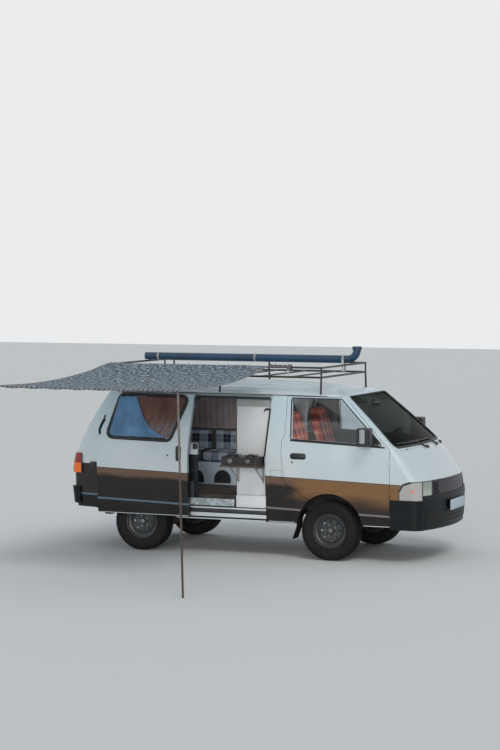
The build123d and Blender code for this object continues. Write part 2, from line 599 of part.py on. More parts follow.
# Cab: dashboard with column, steering wheel and seats
dash_side = [(560, 900), (560, 1080), (640, 1160), (1000, 1150), (1000, 900)]
dash = walls(WALL + SEAT_GAP) & prism_y(dash_side, -690, 690)
column_a = (700, 380, 980)
column_b = (330, 380, 1180)
column = Vector(*column_b) - Vector(*column_a)
SHAFT_R = 10
shaft_end = Plane(origin=column_b, z_dir=column)
dash += rod(column_a, column_b, 24)
nodes["dashboard"] = dash - shaft_end * Cylinder(SHAFT_R + RUN_GAP, 130)
wheel_plane = Plane(origin=Vector(*column_b) + column.normalized() * 30, z_dir=column)
rim_profile = Plane.XZ * Pos(190, 0, 0) * RegularPolygon(14, 8)
steering_rim = revolve(rim_profile, axis=Axis.Z)
steering = wheel_plane * (steering_rim + Cylinder(40, 50) + Box(370, 30, 16) + Box(30, 370, 16))
nodes["steering_wheel"] = steering + shaft_end * Cylinder(SHAFT_R, 120)


def seat(y):
    """A front seat: cushion, back and headrest as one padded solid."""
    cushion = block(-500, -40, y - 250, y + 250, SEAT_BOX_TOP + SEAT_GAP, 1020)
    cushion = chamfer(cushion.edges(), 30)
    back = prism_y([(-500, 990), (-640, 1500), (-540, 1520), (-380, 990)], y - 240, y + 240)
    back = chamfer(back.edges(), 26)
    rest = prism_y([(-628, 1480), (-655, 1600), (-575, 1610), (-540, 1500)], y - 130, y + 130)
    return cushion + back + chamfer(rest.edges(), 16)


nodes["seat_left"] = seat(400)
nodes["seat_right"] = seat(-400)

# Living space: bench with cushions, cupboard, folding shelf with stove
bench = block(-2850, -1150, 280, 725, FLOOR_Z, 905)
for arch_x in (-1380, -1720, -2060):
    cut = block(arch_x - 110, arch_x + 110, 270, 300, 660, 708)
    cut += ring_y(arch_x, 270, 300, 708, 110)
    bench -= cut
house_half = HOUSE_L + HOUSE_T + SEAT_GAP
bench -= block(-WHEELBASE - house_half, -WHEELBASE + house_half, REAR_HOUSE_Y - HOUSE_T - SEAT_GAP, 800,
               600, HOUSE_TOP + HOUSE_T + SEAT_GAP)
nodes["bench"] = bench
cushion = chamfer(block(-2850, -1150, 260, 640, 905.3, 1035).edges(), 22)
back_rest = chamfer(block(-2840, -1150, 645, 728, 905.3, 1262).edges(), 22)
nodes["bench_cushions"] = [cushion, back_rest]
cupboard = block(-1115, -735, -700, -280, FLOOR_Z, 1715)
nodes["cupboard"] = cupboard
shelf = block(-1205, -760, -975, -720, 985, 1005)
for bracket_x in (-1095, -800):
    shelf += block(bracket_x - 8, bracket_x + 8, -960, -700 - SEAT_GAP, 965, 985)
    shelf += block(bracket_x - 8, bracket_x + 8, -718, -700 - SEAT_GAP, 800, 985)
    shelf += rod((bracket_x, -710, 820), (bracket_x, -930, 975), 8)
nodes["folding_shelf"] = shelf
stove = fillet(block(-1195, -775, -962, -735, 1005 + SEAT_GAP, 1095).edges().filter_by(Axis.Z), 15)
for burner_x in (-1090, -880):
    stove += Pos(burner_x, -860, 1101) * Cylinder(65, 14)
nodes["stove"] = stove
# Curtains against the windows, and one across the cab on a rod
curtain_skin = walls(WALL + SEAT_GAP) - walls(WALL + CURTAIN_T)
CURTAIN_LOW = 1225
CURTAIN_TOP = 1700
back_top = 1262
curtains = []
for x0, x1, side in ((-1760, -700, 1), (-2560, -1900, 1), (-2560, -1900, -1)):
    y0, y1 = (0, 900) if side > 0 else (-900, 0)
    low = back_top + SEAT_GAP if side > 0 else CURTAIN_LOW
    curtains += (curtain_skin & block(x0, x1, y0, y1, low, CURTAIN_TOP)).solids()
ROD_X, ROD_Z = -680, 1705
curtains.append(block(ROD_X - 10, ROD_X + 10, -420, 480, 1100, ROD_Z - 10 - SEAT_GAP))
nodes["curtains"] = curtains
nodes["curtain_rod"] = rod((ROD_X, -800, ROD_Z), (ROD_X, 800, ROD_Z), 10) & inside

# Roof rack
tube = RACK_TUBE_R
rack = None
for z in (RACK_TOP_Z, RACK_LOW_Z):
    for side in (1, -1):
        bar = rod((RACK_REAR_X, side * RACK_Y, z), (RACK_FRONT_X, side * RACK_Y, z), tube)
        rack = bar if rack is None else rack + bar
    for end_x in (RACK_REAR_X, RACK_FRONT_X):
        rack += rod((end_x, -RACK_Y, z), (end_x, RACK_Y, z), tube)
slats = 7
for index in range(1, slats):
    x = RACK_REAR_X + (RACK_FRONT_X - RACK_REAR_X) * index / slats
    rack += rod((x, -RACK_Y, RACK_LOW_Z), (x, RACK_Y, RACK_LOW_Z), tube * 0.8)
LEG_X = (RACK_FRONT_X, -1310, -2530)
for x in (RACK_REAR_X,) + LEG_X:
    for side in (1, -1):
        rack += rod((x, side * RACK_Y, RACK_LOW_Z), (x, side * RACK_Y, RACK_TOP_Z), tube * 0.9)
for x in LEG_X:
    for side in (1, -1):
        rack += rod((x, side * RACK_Y, RACK_LOW_Z), (x, side * 730, CANT_Z), tube)
nodes["roof_rack"] = rack - outer

# Water pipe along the roof, with an elbow and a filler mouth
pipe_z = RACK_TOP_Z + RACK_TUBE_R + PIPE_R + SEAT_GAP
bend = 110
pipe = rod((-2700, 300, pipe_z), (-190, 300, pipe_z), PIPE_R)
with BuildPart() as elbow:
    with BuildLine() as path:
        ThreePointArc((-190, 300, pipe_z),
                      (-190 + bend * sin(radians(45)), 300, pipe_z + bend * (1 - cos(radians(45)))),
                      (-190 + bend, 300, pipe_z + bend))
    with BuildSketch(Plane(origin=(-190, 300, pipe_z), z_dir=(1, 0, 0))):
        Circle(PIPE_R)
    sweep()
pipe += elbow.part
pipe += Pos(-190 + bend, 300, pipe_z + bend + 15) * Cylinder(PIPE_R + 10, 40)
nodes["roof_pipe"] = pipe

# Awning sheet with its poles
inner_z = RACK_TOP_Z + RACK_TUBE_R + 2 * SEAT_GAP
AWNING_IN_Y = -RACK_Y
mid_y = (AWNING_IN_Y + AWNING_OUT_Y) / 2
mid_z = (inner_z + AWNING_OUT_Z) / 2 - AWNING_SAG


def cloth_sheet(drop, thick):
    """The sagging sheet, or a thicker one let down by drop."""
    low = [(AWNING_IN_Y, inner_z - drop), (mid_y, mid_z - drop), (AWNING_OUT_Y, AWNING_OUT_Z - drop)]
    high = [(y, z + thick) for y, z in low]
    with BuildSketch(Plane.YZ) as cloth:
        with BuildLine():
            ThreePointArc(*low)
            Line(low[2], high[2])
            ThreePointArc(*high)
            Line(high[0], low[0])
        make_face()
    return Pos(AWNING_REAR_X, 0, 0) * extrude(cloth.sketch, amount=AWNING_FRONT_X - AWNING_REAR_X)


nodes["awning"] = cloth_sheet(0, AWNING_T)
poles = []
for top_x, foot_x in ((AWNING_FRONT_X - 25, AWNING_FRONT_X + 110), (AWNING_REAR_X + 25, AWNING_REAR_X - 110)):
    pole = rod((foot_x, -3660, -30), (top_x, -3478, AWNING_OUT_Z + 20), POLE_R)
    poles.append(pole - block(-3200, 1500, -4000, 0, -100, 0) - cloth_sheet(SEAT_GAP, 200))
nodes["awning_poles"] = poles


def as_solids(item):
    """All solids of a node, as a flat list."""
    shapes = item if isinstance(item, list) else [item]
    return [solid for shape in shapes for solid in shape.solids()]


flat = {name: as_solids(item) for name, item in nodes.items()}
boxes = [solid.bounding_box() for solids in flat.values() for solid in solids]
mid_x = (min(b.min.X for b in boxes) + max(b.max.X for b in boxes)) / 2
mid_y = (min(b.min.Y for b in boxes) + max(b.max.Y for b in boxes)) / 2
ground = min(b.min.Z for b in boxes)
place = Pos(-mid_x, -mid_y, -ground)
print("origin", round(mid_x, 3), round(mid_y, 3), round(ground, 3))
for name, solids in flat.items():
    moved = [place * solid for solid in solids]
    export_step(moved[0] if len(moved) == 1 else Compound(children=moved), "parts/" + name + ".step")
    print(name, len(moved))
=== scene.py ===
"""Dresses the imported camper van: paint, trim, glass, soft goods and camping gear."""

from math import ceil, cos, pi, radians, sin

import bmesh
import bpy
from mathutils import Matrix, Vector
from mathutils.bvhtree import BVHTree


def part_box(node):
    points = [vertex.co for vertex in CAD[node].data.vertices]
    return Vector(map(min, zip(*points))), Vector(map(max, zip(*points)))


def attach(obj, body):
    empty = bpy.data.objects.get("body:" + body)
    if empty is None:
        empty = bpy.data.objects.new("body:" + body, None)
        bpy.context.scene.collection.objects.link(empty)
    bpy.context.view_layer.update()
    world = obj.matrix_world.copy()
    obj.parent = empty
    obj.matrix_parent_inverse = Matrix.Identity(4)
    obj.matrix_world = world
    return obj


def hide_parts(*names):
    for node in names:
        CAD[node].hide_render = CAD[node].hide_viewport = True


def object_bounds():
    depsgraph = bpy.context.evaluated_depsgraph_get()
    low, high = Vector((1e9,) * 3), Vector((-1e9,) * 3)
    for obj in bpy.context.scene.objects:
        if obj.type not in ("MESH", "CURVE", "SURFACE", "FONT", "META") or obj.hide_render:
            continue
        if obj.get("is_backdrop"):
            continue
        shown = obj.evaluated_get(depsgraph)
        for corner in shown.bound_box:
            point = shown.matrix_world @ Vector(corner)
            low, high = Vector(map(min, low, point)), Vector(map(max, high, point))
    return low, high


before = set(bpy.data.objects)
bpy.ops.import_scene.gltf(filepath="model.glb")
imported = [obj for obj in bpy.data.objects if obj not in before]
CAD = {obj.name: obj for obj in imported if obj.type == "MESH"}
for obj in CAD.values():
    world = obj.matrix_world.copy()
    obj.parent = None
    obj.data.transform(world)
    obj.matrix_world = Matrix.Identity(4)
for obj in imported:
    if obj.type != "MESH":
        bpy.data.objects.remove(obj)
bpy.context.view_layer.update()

# All pieces are laid out in the van's own metres, with the origin on the ground under the
# front axle, x forward and y to its left, and then moved by AXLE into the shared frame
RIGHT_FRONT, LEFT_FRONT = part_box("wheel_front_right"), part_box("wheel_front_left")
AXLE = Vector(((RIGHT_FRONT[0].x + RIGHT_FRONT[1].x) / 2, (RIGHT_FRONT[0].y + LEFT_FRONT[1].y) / 2, 0))
SLID = Vector((-0.9, -0.07, 0))        # how far the sliding door stands back and out
LINE_Z, LINE_SLOPE = 0.869, 0.028      # the parting of the two paints
STRIPE_Z, STRIPE_HALF = 0.524, 0.0105  # the thin stripe's middle and half its width
FRONT_WINDOW = [(-0.450, 1.735), (0.118, 1.735), (0.610, 1.255), (-0.440, 1.300)]
SLIDING_WINDOW = [(-0.742, 1.722), (-1.560, 1.728), (-1.722, 1.270), (-0.962, 1.252)]
QUARTER_WINDOW = [(-1.930, 1.722), (-2.390, 1.722), (-2.560, 1.275), (-1.930, 1.262)]
LEFT_WINDOW = [(-0.700, 1.722), (-1.560, 1.728), (-1.722, 1.270), (-0.760, 1.252)]
WINDSCREEN = [(-0.734, 1.242), (-0.572, 1.751), (0.572, 1.751), (0.734, 1.242)]
TAIL_WINDOW = [(-0.560, 1.290), (-0.500, 1.690), (0.500, 1.690), (0.560, 1.290)]
WHEELS = {
    "front_right": (0, -0.708), "front_left": (0, 0.708),
    "rear_right": (-2.235, -0.708), "rear_left": (-2.235, 0.708),
}
TYRE_R = 0.320
SIDES = ((-1, "right"), (1, "left"))   # the sign of y, and the word in the names
TIP = 0.0001                           # the radius at which a turned profile ends on its axis
EULER = 2.718                          # the base of the soft falloffs in cloth
SOFT_STEPS = 20                        # frames of the pressure simulation


def turns(count):
    """Angles evenly spaced right round."""
    return [2 * pi * i / count for i in range(count)]


# Camera

camera = bpy.data.objects.new("camera", bpy.data.cameras.new("camera"))
bpy.context.collection.objects.link(camera)
camera.location = Vector((7.579, -21.0427, 3.083)) + AXLE
camera.rotation_euler = (radians(90 - 2.873), 0, radians(22.773))
camera.data.lens = 97.11
camera.data.sensor_width = 36
camera.data.clip_end = 200
bpy.context.scene.camera = camera
bpy.context.scene.view_settings.view_transform = "Standard"


# Shader helpers

class Net:
    """Adds shader nodes to one tree, one call to a node, and gives back its output."""

    def __init__(self, tree):
        self.tree = tree

    def put(self, socket, value):
        if isinstance(value, bpy.types.NodeSocket):
            self.tree.links.new(value, socket)
        elif value is not None:
            wide = isinstance(value, tuple) and len(value) == 3 and socket.type == "RGBA"
            socket.default_value = value + (1,) if wide else value

    def add(self, kind, values=None, out=0, **settings):
        node = self.tree.nodes.new("ShaderNode" + kind)
        for key, value in settings.items():
            setattr(node, key, value)
        for key, value in (values or {}).items():
            self.put(node.inputs[key], value)
        return node if out is None else node.outputs[out]

    def calc(self, operation, a, b=None, c=None):
        return self.add("Math", {0: a, 1: b, 2: c}, operation=operation)

    def blend(self, share, a, b, how="MIX"):
        return self.add("Mix", {0: share, 6: a, 7: b}, 2, data_type="RGBA", blend_type=how)

    def step(self, value, low, high, start=0.0, end=1.0):
        inputs = {0: value, 1: low, 2: high, 3: start, 4: end}
        return self.add("MapRange", inputs, interpolation_type="SMOOTHSTEP")

    def near(self, value, middle, half):
        """1 where value lies within half of middle, else 0."""
        return self.calc("LESS_THAN", self.calc("ABSOLUTE", self.calc("SUBTRACT", value, middle)), half)

    def waves(self, value, pitch):
        """Even waves along value, from 0 to 1."""
        return self.calc("MULTIPLY_ADD", self.calc("SINE", self.calc("MULTIPLY", value, pitch)), 0.5, 0.5)

    def wander(self, value, dark, light):
        """A tone that goes softly from dark to light with a noise value."""
        return self.blend(self.step(value, 0.3, 0.7), dark, light)

    def place(self):
        return self.add("TexCoord", out=3)

    def split(self, vector):
        node = self.add("SeparateXYZ", {0: vector}, None)
        return node.outputs[0], node.outputs[1], node.outputs[2]

    def join(self, x, y, z):
        return self.add("CombineXYZ", {0: x, 1: y, 2: z})

    def noise(self, vector, scale, detail=3.0, rough=0.5):
        return self.add("TexNoise", {"Vector": vector, "Scale": scale, "Detail": detail, "Roughness": rough})

    def stretch(self, vector, scale):
        return self.add("Mapping", {0: vector, 3: scale})

    def use(self, group, **values):
        node = self.tree.nodes.new("ShaderNodeGroup")
        node.node_tree = group
        for key, value in values.items():
            self.put(node.inputs[key], value)
        return node.outputs


def make_group(name, inputs, outputs, build):
    """A shader node group. inputs maps a name to its default, outputs a name to its kind."""
    tree = bpy.data.node_groups.new(name, "ShaderNodeTree")
    for key, value in inputs.items():
        kind = "NodeSocketColor" if isinstance(value, tuple) else "NodeSocketFloat"
        made = tree.interface.new_socket(name=key, in_out="INPUT", socket_type=kind)
        made.default_value = value + (1,) if isinstance(value, tuple) else value
    for key, kind in outputs.items():
        tree.interface.new_socket(name=key, in_out="OUTPUT", socket_type="NodeSocket" + kind)
    net = Net(tree)
    given = tree.nodes.new("NodeGroupInput").outputs
    sink = tree.nodes.new("NodeGroupOutput")
    for key, socket in build(net, given).items():
        net.put(sink.inputs[key], socket)
    return tree


def build_wear(net, given):
    """Broad mottling, fine grain and sparse scuffs, all from 0 to 1."""
    where = net.place()
    broad = net.noise(where, given["Broad Scale"], 4)
    fine = net.noise(where, given["Fine Scale"], 5, 0.6)
    patch = net.step(net.noise(where, 2.3, 2), 0.52, 0.7)
    streak = net.noise(net.stretch(where, (9, 9, 60)), 6, 3)
    scuff = net.calc("MULTIPLY", net.step(streak, 0.62, 0.7), patch)
    return {"Broad": broad, "Fine": fine, "Scuff": scuff}


def build_dust(net, given):
    """Dust that gathers low down and in patches."""
    where = net.place()
    height = net.split(where)[2]
    low = net.step(height, 0.0, given["Height"], 1.0, 0.0)
    cloud = net.step(net.noise(where, 5.0, 6, 0.65), 0.3, 0.75)
    grains = net.step(net.noise(where, 90.0, 2), 0.35, 0.7)
    mask = net.calc("MULTIPLY", net.calc("MULTIPLY", low, cloud), net.calc("MULTIPLY_ADD", grains, 0.5, 0.5))
    return {"Mask": net.calc("MULTIPLY", mask, given["Amount"])}


def build_check(net, given):
    """Woven checks of a ground colour, a band and two fine lines, across U and V."""
    shades = []
    for key in ("U", "V"):
        at = net.calc("FRACT", given[key])
        band = net.calc("GREATER_THAN", at, 0.55)
        line = net.near(at, 0.26, 0.035)
        edge = net.near(at, 0.77, 0.03)
        shade = net.blend(band, given["Ground"], given["Band"])
        shade = net.blend(line, shade, given["Line"])
        shades.append(net.blend(edge, shade, given["Edge"]))
    return {"Colour": net.blend(0.5, shades[0], shades[1])}


def build_weave(net, given):
    """Crossing threads, as a height and as a slight change of tone."""
    waves = []
    for key in ("U", "V"):
        turn = net.calc("MULTIPLY", net.calc("MULTIPLY", given[key], given["Threads"]), 2 * pi)
        waves.append(net.calc("SINE", turn))
    height = net.calc("MULTIPLY_ADD", net.calc("MULTIPLY", waves[0], waves[1]), 0.5, 0.5)
    slub = net.noise(net.stretch(net.place(), (1, 1, 14)), 30, 3)
    return {"Height": height, "Tone": net.calc("MULTIPLY_ADD", slub, 0.5, 0.75)}


WEAR = make_group("surface_wear", {"Broad Scale": 3.0, "Fine Scale": 60.0},
                  {"Broad": "Float", "Fine": "Float", "Scuff": "Float"}, build_wear)
DUST = make_group("road_dust", {"Height": 0.9, "Amount": 0.5}, {"Mask": "Float"}, build_dust)
CHECK = make_group("check_cloth", {
    "U": 0.0, "V": 0.0, "Ground": (0.3, 0.1, 0.1), "Band": (0.1, 0.1, 0.1),
    "Line": (0.5, 0.5, 0.5), "Edge": (0.5, 0.5, 0.5)}, {"Colour": "Color"}, build_check)
WEAVE = make_group("thread_weave", {"U": 0.0, "V": 0.0, "Threads": 500.0},
                   {"Height": "Float", "Tone": "Float"}, build_weave)
DUST_TONE = (0.30, 0.25, 0.19)


def start_material(name, **plain):
    """A material with one Principled shader. plain sets its own sockets."""
    made = bpy.data.materials.new(name)
    made.use_nodes = True
    net = Net(made.node_tree)
    shader = made.node_tree.nodes["Principled BSDF"]
    for key, value in plain.items():
        net.put(shader.inputs[key.replace("_", " ")], value)
    return made, net, shader


def finish_material(made, net, shader, colour, rough, height=None, depth=0.001, metal=None):
    net.put(shader.inputs["Base Color"], colour)
    net.put(shader.inputs["Roughness"], rough)
    net.put(shader.inputs["Metallic"], metal)
    if height is not None:
        bump = net.add("Bump", {"Height": height, "Distance": depth, "Strength": 0.6})
        net.put(shader.inputs["Normal"], bump)
    return made


def by_weave(net, colour, weave):
    """A colour times the slight change of tone that a weave gives."""
    tone_map = net.join(weave["Tone"], weave["Tone"], weave["Tone"])
    return net.blend(1.0, colour, tone_map, "MULTIPLY")


def coated(name, tone, rough=0.4, vary=0.25, dust=0.0, dust_height=0.9, grain=180.0, depth=0.0004,
           broad=3.0, scuffs=0.0, scuff_tone=(0.25, 0.24, 0.23), metal=0.0, **plain):
    """Paint, plastic, rubber or metal: one tone that wanders, fine grain, scuffs and dust."""
    made, net, shader = start_material(name, **plain)
    wear = net.use(WEAR, **{"Broad Scale": broad, "Fine Scale": grain})
    dark = tuple(c * (1 - vary) for c in tone)
    light = tuple(min(1.0, c * (1 + vary)) for c in tone)
    colour = net.wander(wear["Broad"], dark, light)
    if scuffs:
        colour = net.blend(net.calc("MULTIPLY", wear["Scuff"], scuffs), colour, scuff_tone)
    roughness = net.calc("MULTIPLY_ADD", wear["Fine"], 0.2, max(0.02, rough - 0.1))
    if dust:
        mask = net.use(DUST, Height=dust_height, Amount=dust)["Mask"]
        colour = net.blend(mask, colour, DUST_TONE)
        roughness = net.calc("MAXIMUM", roughness, net.calc("MULTIPLY", mask, 0.9))
    return finish_material(made, net, shader, colour, roughness, wear["Fine"], depth, metal or None)


def build_two_tone(net, given):
    """Pale paint above a sloping line that turns bluer higher up as a painted sky reflection, bronze below
    it that is lighter under the line and darker downwards and towards the rear as painted reflection, and a
    thin stripe.
    """
    x, y, z = net.split(net.place())
    along = net.calc("ADD", net.calc("SUBTRACT", x, AXLE.x), given["Shift"])
    flat = net.calc("MULTIPLY_ADD", along, LINE_SLOPE, z)
    over = net.calc("SUBTRACT", flat, LINE_Z)
    wear = net.use(WEAR, **{"Broad Scale": 1.6, "Fine Scale": 240.0})
    pale = net.wander(wear["Broad"], (0.55, 0.62, 0.645), (0.62, 0.675, 0.69))
    # Higher up the pale paint turns bluer: this is a painted sky reflection on the upper body and roof, not
    # a second paint.
    high = net.step(z, 0.9, 1.8)
    pale = net.blend(net.calc("MULTIPLY", high, 0.6), pale, (0.52, 0.68, 0.74))
    cloud = net.calc("MULTIPLY_ADD", net.noise(net.stretch(net.place(), (1.2, 1.2, 4)), 1.7, 2), 0.12, -0.06)
    depth = net.calc("ADD", over, cloud)
    # The bronze is lighter just under the line and darker downwards: painted reflection laid over the bronze
    # paint.
    bronze_and_painted_reflection = net.blend(net.step(depth, -0.30, -0.12), (0.028, 0.019, 0.016), (0.215, 0.112, 0.046))
    # Behind the front door the painted reflection narrows to a highlight band just under the line, with
    # painted dark below it, and at the far back the bronze is painted dark all over.
    behind = net.blend(net.step(depth, -0.11, -0.05), (0.014, 0.011, 0.010), (0.150, 0.090, 0.060))
    far_back = net.step(along, -2.05, -1.80)
    behind = net.blend(far_back, (0.024, 0.018, 0.017), behind)
    wavy = net.calc("ADD", along, net.calc("MULTIPLY", cloud, 4))
    bronze_and_painted_reflection = net.blend(net.step(wavy, -0.50, -0.22), behind, bronze_and_painted_reflection)
    stripe_at = net.calc("SUBTRACT", flat, STRIPE_Z)
    # Below the stripe the bronze is painted near black, as the bottom of the same painted reflection.
    bronze_and_painted_reflection = net.blend(net.calc("LESS_THAN", stripe_at, 0), bronze_and_painted_reflection, (0.008, 0.007, 0.007))
    stripe = net.calc("LESS_THAN", net.calc("ABSOLUTE", stripe_at), STRIPE_HALF)
    ahead = net.step(net.calc("SUBTRACT", x, AXLE.x), -1.6, -1.2)
    bronze_and_painted_reflection = net.blend(stripe, bronze_and_painted_reflection, net.blend(ahead, (0.11, 0.165, 0.22), (0.19, 0.17, 0.17)))
    colour = net.blend(net.calc("GREATER_THAN", over, 0), bronze_and_painted_reflection, pale)
    across = net.calc("ABSOLUTE", net.calc("SUBTRACT", y, AXLE.y))
    jamb = net.calc("MULTIPLY", net.calc("LESS_THAN", across, 0.802), net.calc("LESS_THAN", along, -1.555))
    jamb = net.calc("MULTIPLY", jamb, net.calc("GREATER_THAN", along, -1.95))
    jamb_tone = net.blend(net.calc("LESS_THAN", z, 1.09), pale, (0.010, 0.015, 0.021))
    colour = net.blend(jamb, colour, jamb_tone)
    edge = net.calc("LESS_THAN", net.calc("ABSOLUTE", over), 0.004)
    colour = net.blend(edge, colour, (0.06, 0.05, 0.05))
    colour = net.blend(net.calc("MULTIPLY", wear["Scuff"], 0.25), colour, (0.33, 0.27, 0.22))
    mask = net.use(DUST, Height=0.80, Amount=0.12)["Mask"]
    colour = net.blend(mask, colour, DUST_TONE)
    grain = net.calc("MULTIPLY_ADD", wear["Fine"], 0.12, 0.22)
    rough = net.calc("ADD", net.calc("MULTIPLY", mask, 0.6), grain)
    return {"Colour": colour, "Roughness": rough, "Height": wear["Fine"]}


TWO_TONE = make_group("two_tone_paint", {"Shift": 0.0},
                      {"Colour": "Color", "Roughness": "Float", "Height": "Float"}, build_two_tone)


def body_paint(name, shift):
    made, net, shader = start_material(name, Coat_Weight=0.12, Coat_Roughness=0.12, Specular_IOR_Level=0.35)
    paint = net.use(TWO_TONE, Shift=shift)
    return finish_material(made, net, shader, paint["Colour"], paint["Roughness"], paint["Height"], 0.0001)


def glass(name, tint, rough=0.02, ior=1.45, front=None):
    """Clear tinted glass that lets light through to the cabin. front is the tint ahead of the front axle."""
    made, net, shader = start_material(name, Transmission_Weight=1.0, IOR=ior)
    film = net.noise(net.place(), 9.0, 5)
    shown = net.blend(net.step(film, 0.35, 0.75), tint, tuple(c * 0.93 for c in tint))
    if front:
        shown = net.blend(net.calc("GREATER_THAN", net.split(net.place())[0], AXLE.x), shown, front)
    finish_material(made, net, shader, shown,
                    net.calc("MULTIPLY_ADD", net.step(film, 0.5, 0.8), 0.03, rough))
    clear = net.add("BsdfTransparent", {0: (0.92, 0.94, 0.95)})
    shadow = net.add("LightPath", out=1)
    mixed = net.add("MixShader", {0: shadow, 1: shader.outputs[0], 2: clear})
    net.put(made.node_tree.nodes["Material Output"].inputs[0], mixed)
    return made


def cloth(name, tone, threads=500.0, axes=(0, 2), vary=0.25, sheen=0.2, rough=0.9):
    """Plain woven cloth whose threads follow two of the axes."""
    made, net, shader = start_material(name, Sheen_Weight=sheen, Specular_IOR_Level=0.2)
    where = net.split(net.place())
    weave = net.use(WEAVE, U=where[axes[0]], V=where[axes[1]], Threads=threads)
    wear = net.use(WEAR, **{"Broad Scale": 4.0, "Fine Scale": 300.0})
    dark = tuple(c * (1 - vary) for c in tone)
    light = tuple(c * (1 + vary) for c in tone)
    colour = by_weave(net, net.wander(wear["Broad"], dark, light), weave)
    return finish_material(made, net, shader, colour, rough, weave["Height"], 0.0006)


def checked_cloth(name, u_axis, v_axis, period, tones):
    """Checked cloth. tones are the ground, the band, the line and the edge."""
    made, net, shader = start_material(name, Sheen_Weight=0.25, Specular_IOR_Level=0.2)
    where = net.split(net.place())
    u = net.calc("DIVIDE", where[u_axis], period)
    v = net.calc("DIVIDE", where[v_axis], period)
    colour = net.use(CHECK, U=u, V=v, Ground=tones[0], Band=tones[1], Line=tones[2], Edge=tones[3])["Colour"]
    weave = net.use(WEAVE, U=where[u_axis], V=where[v_axis], Threads=420.0)
    return finish_material(made, net, shader, by_weave(net, colour, weave), 0.9, weave["Height"], 0.0006)


def wood(name, light, dark, along="X", worn=0.3, rough=0.6):
    """Board with a stretched grain and paler worn patches."""
    made, net, shader = start_material(name)
    where = net.place()
    scale = {"X": (1, 14, 14), "Y": (14, 1, 14), "Z": (14, 14, 1)}[along]
    grain = net.noise(net.stretch(where, scale), 6.0, 6, 0.6)
    wear = net.use(WEAR, **{"Broad Scale": 5.0, "Fine Scale": 90.0})
    colour = net.wander(grain, dark, light)
    pale = net.calc("MULTIPLY", net.step(wear["Broad"], 0.5, 0.75), worn)
    colour = net.blend(pale, colour, tuple(min(1.0, c * 1.6 + 0.05) for c in light))
    return finish_material(made, net, shader, colour, rough, grain, 0.0006)


